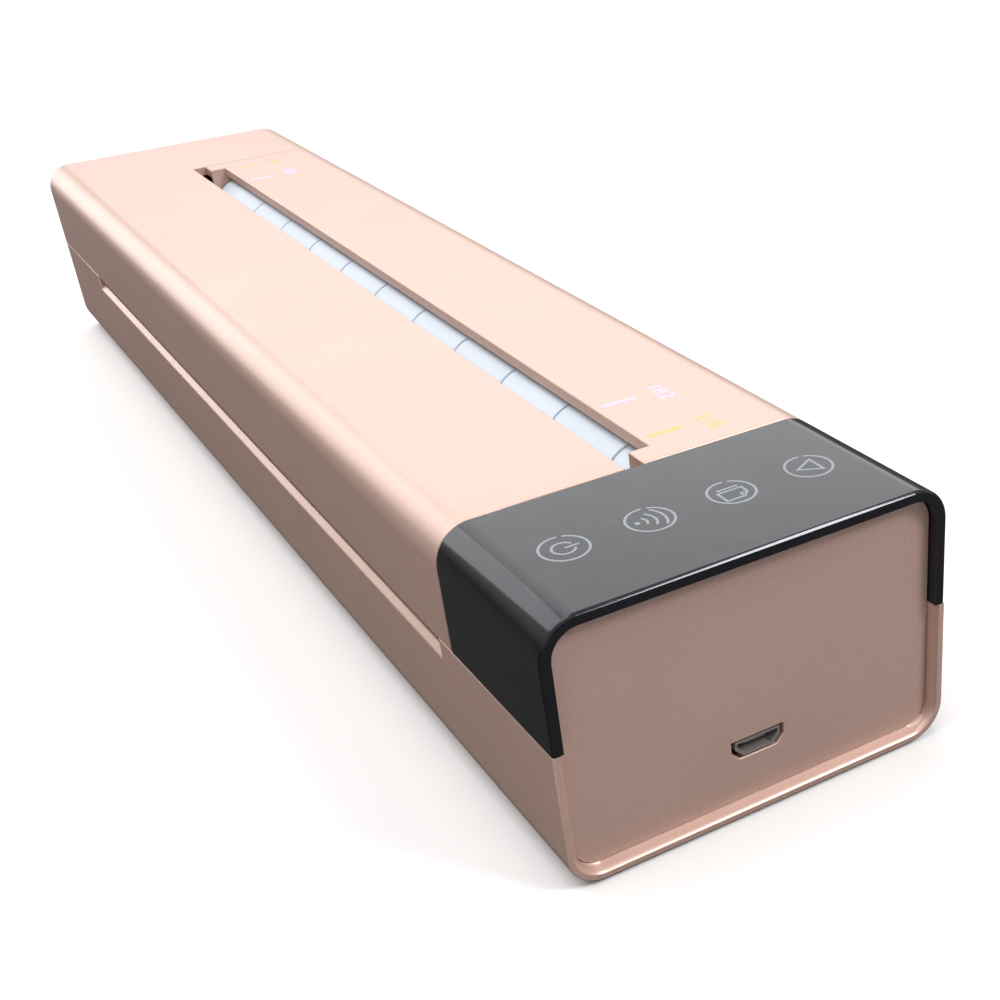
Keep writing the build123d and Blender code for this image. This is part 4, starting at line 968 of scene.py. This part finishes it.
class PRINTER_OT_springs(bpy.types.Operator):
    """Wind the springs that press the print head"""
    bl_idname = "printer.springs"
    bl_label = "Head springs"

    def execute(self, context):
        """Puts a round-wire coil at each spring."""
        low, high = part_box("head_springs")
        middle_x = (low.x + high.x) / 2
        z = (low.z + high.z) / 2
        reach = (high.x - low.x) / 2 - SPRING_RADIUS - SPRING_WIRE
        places = [(middle_x + step * reach, low.y + SPRING_WIRE, z) for step in (-1, 0, 1)]
        piece = points_object("head_spring_set", places)
        grown(piece, coil_tree(), radius=SPRING_RADIUS, wire=SPRING_WIRE,
              height=high.y - low.y - 2 * SPRING_WIRE, turns=4.0, material=FINISHES["steel"])
        piece.data.shade_smooth()
        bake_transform(piece)
        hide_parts("head_springs")
        return {"FINISHED"}


class PRINTER_OT_feet(bpy.types.Operator):
    """Set the four ringed rubber feet"""
    bl_idname = "printer.feet"
    bl_label = "Rubber feet"

    def execute(self, context):
        """Turns four feet, each with a shallow ring in its sole."""
        low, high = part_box("rubber_feet")
        radius = FOOT_RADIUS
        depth = high.z - low.z
        profile = [(0, 0), (0, 1.2 * MM), (0.2 * MM, 1.4 * MM), (0.2 * MM, 2.0 * MM), (0, 2.2 * MM),
                   (0, radius - 0.25 * MM), (0.25 * MM, radius), (depth, radius), (depth, 0)]
        feet = []
        for x in (low.x + radius, high.x - radius):
            for y in (low.y + radius, high.y - radius):
                foot = lathe(profile, 64)
                for corner in foot.verts:
                    along, across, up = corner.co
                    corner.co = Vector((across + x, up + y, along + low.z))
                feet.append(from_bmesh("rubber_foot", foot))
        piece = gathered("rubber_foot_set", *feet)
        dress(shaded(piece), "base", "foot_rubber", FINISHES["rubber"], "rubber_feet")
        return {"FINISHED"}


class PRINTER_OT_print_head(bpy.types.Operator):
    """Lay the heating line on the print head"""
    bl_idname = "printer.print_head"
    bl_label = "Print head"

    def execute(self, context):
        """Adds the heating line level with the roller's axis."""
        low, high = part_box("thermal_head")
        roller_low, roller_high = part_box("platen_roller")
        z = (roller_low.z + roller_high.z) / 2
        face = high.y - 0.7 * MM
        work = bmesh.new()
        size = Matrix.Diagonal((high.x - low.x - 3 * MM, 0.04 * MM, 0.5 * MM, 1.0))
        bmesh.ops.create_cube(work, size=1.0, matrix=Matrix.Translation((0, face, z)) @ size)
        line = from_bmesh("heating_line", work)
        dress(line, "print_head", "head_ceramic", FINISHES["heat_line"])
        return {"FINISHED"}


NODE_FINISHES = {
    "nickel": ["usb_socket"],
    "steel": ["platen_shaft", "gear_axles", "hinge_pins", "head_pivot_rod"],
    "acetal": ["platen_bushes", "platen_gear", "idler_gear", "compound_gear"],
    "brass": ["motor_pinion"],
    "sheet": ["gear_plate", "near_frame", "far_frame", "chassis_beam", "head_bracket"],
    "can": ["stepper_motor"],
    "guide": ["paper_guide", "upper_guide"],
    "black_plastic": ["paper_sensor", "board_parts"],
    "ceramic": ["thermal_head"],
    "aluminium": ["head_heatsink"],
    "board": ["main_board", "touch_board"],
    "wrap": ["battery_pack"],
}


class PRINTER_OT_inner_parts(bpy.types.Operator):
    """Give the parts inside their finishes"""
    bl_idname = "printer.inner_parts"
    bl_label = "Inner parts"

    def execute(self, context):
        """Assigns a procedural finish to every node that stays."""
        for finish, nodes in NODE_FINISHES.items():
            for node in nodes:
                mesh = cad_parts[node].data
                mesh.materials.clear()
                mesh.materials.append(FINISHES[finish])
        return {"FINISHED"}


STEPS = (
    PRINTER_OT_stage, PRINTER_OT_shells, PRINTER_OT_end_plates, PRINTER_OT_key_panel, PRINTER_OT_width_marks,
    PRINTER_OT_roller, PRINTER_OT_fasteners, PRINTER_OT_springs, PRINTER_OT_feet, PRINTER_OT_print_head,
    PRINTER_OT_inner_parts,
)
SETTINGS = {
    "printer_stage": StageSettings,
    "printer_case": CaseSettings,
    "printer_panel": PanelSettings,
    "printer_roller": RollerSettings,
    "printer_marks": MarkSettings,
}


class PRINTER_PT_panel(bpy.types.Panel):
    """Sidebar panel that lists the printer's pieces"""
    bl_idname = "PRINTER_PT_panel"
    bl_label = "Stencil printer"
    bl_space_type = "VIEW_3D"
    bl_region_type = "UI"
    bl_category = "Printer"

    def draw(self, context):
        """Lists the settings and the operators."""
        for name in SETTINGS:
            box = self.layout.box()
            settings = getattr(context.scene, name)
            for key in settings.bl_rna.properties.keys():
                if key not in ("rna_type", "name"):
                    box.prop(settings, key)
        for step in STEPS:
            self.layout.operator(step.bl_idname)


def register():
    """Registers the settings, the operators and the panel."""
    for name, settings in SETTINGS.items():
        bpy.utils.register_class(settings)
        setattr(bpy.types.Scene, name, bpy.props.PointerProperty(type=settings))
    for step in STEPS:
        bpy.utils.register_class(step)
    bpy.utils.register_class(PRINTER_PT_panel)


def unregister():
    """Removes what register added."""
    bpy.utils.unregister_class(PRINTER_PT_panel)
    for step in reversed(STEPS):
        bpy.utils.unregister_class(step)
    for name, settings in SETTINGS.items():
        delattr(bpy.types.Scene, name)
        bpy.utils.unregister_class(settings)


def main():
    """Builds the whole printer."""
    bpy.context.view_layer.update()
    register()
    make_finishes()
    for step in STEPS:
        group, name = step.bl_idname.split(".")
        getattr(getattr(bpy.ops, group), name)()


if __name__ == "__main__":
    main()
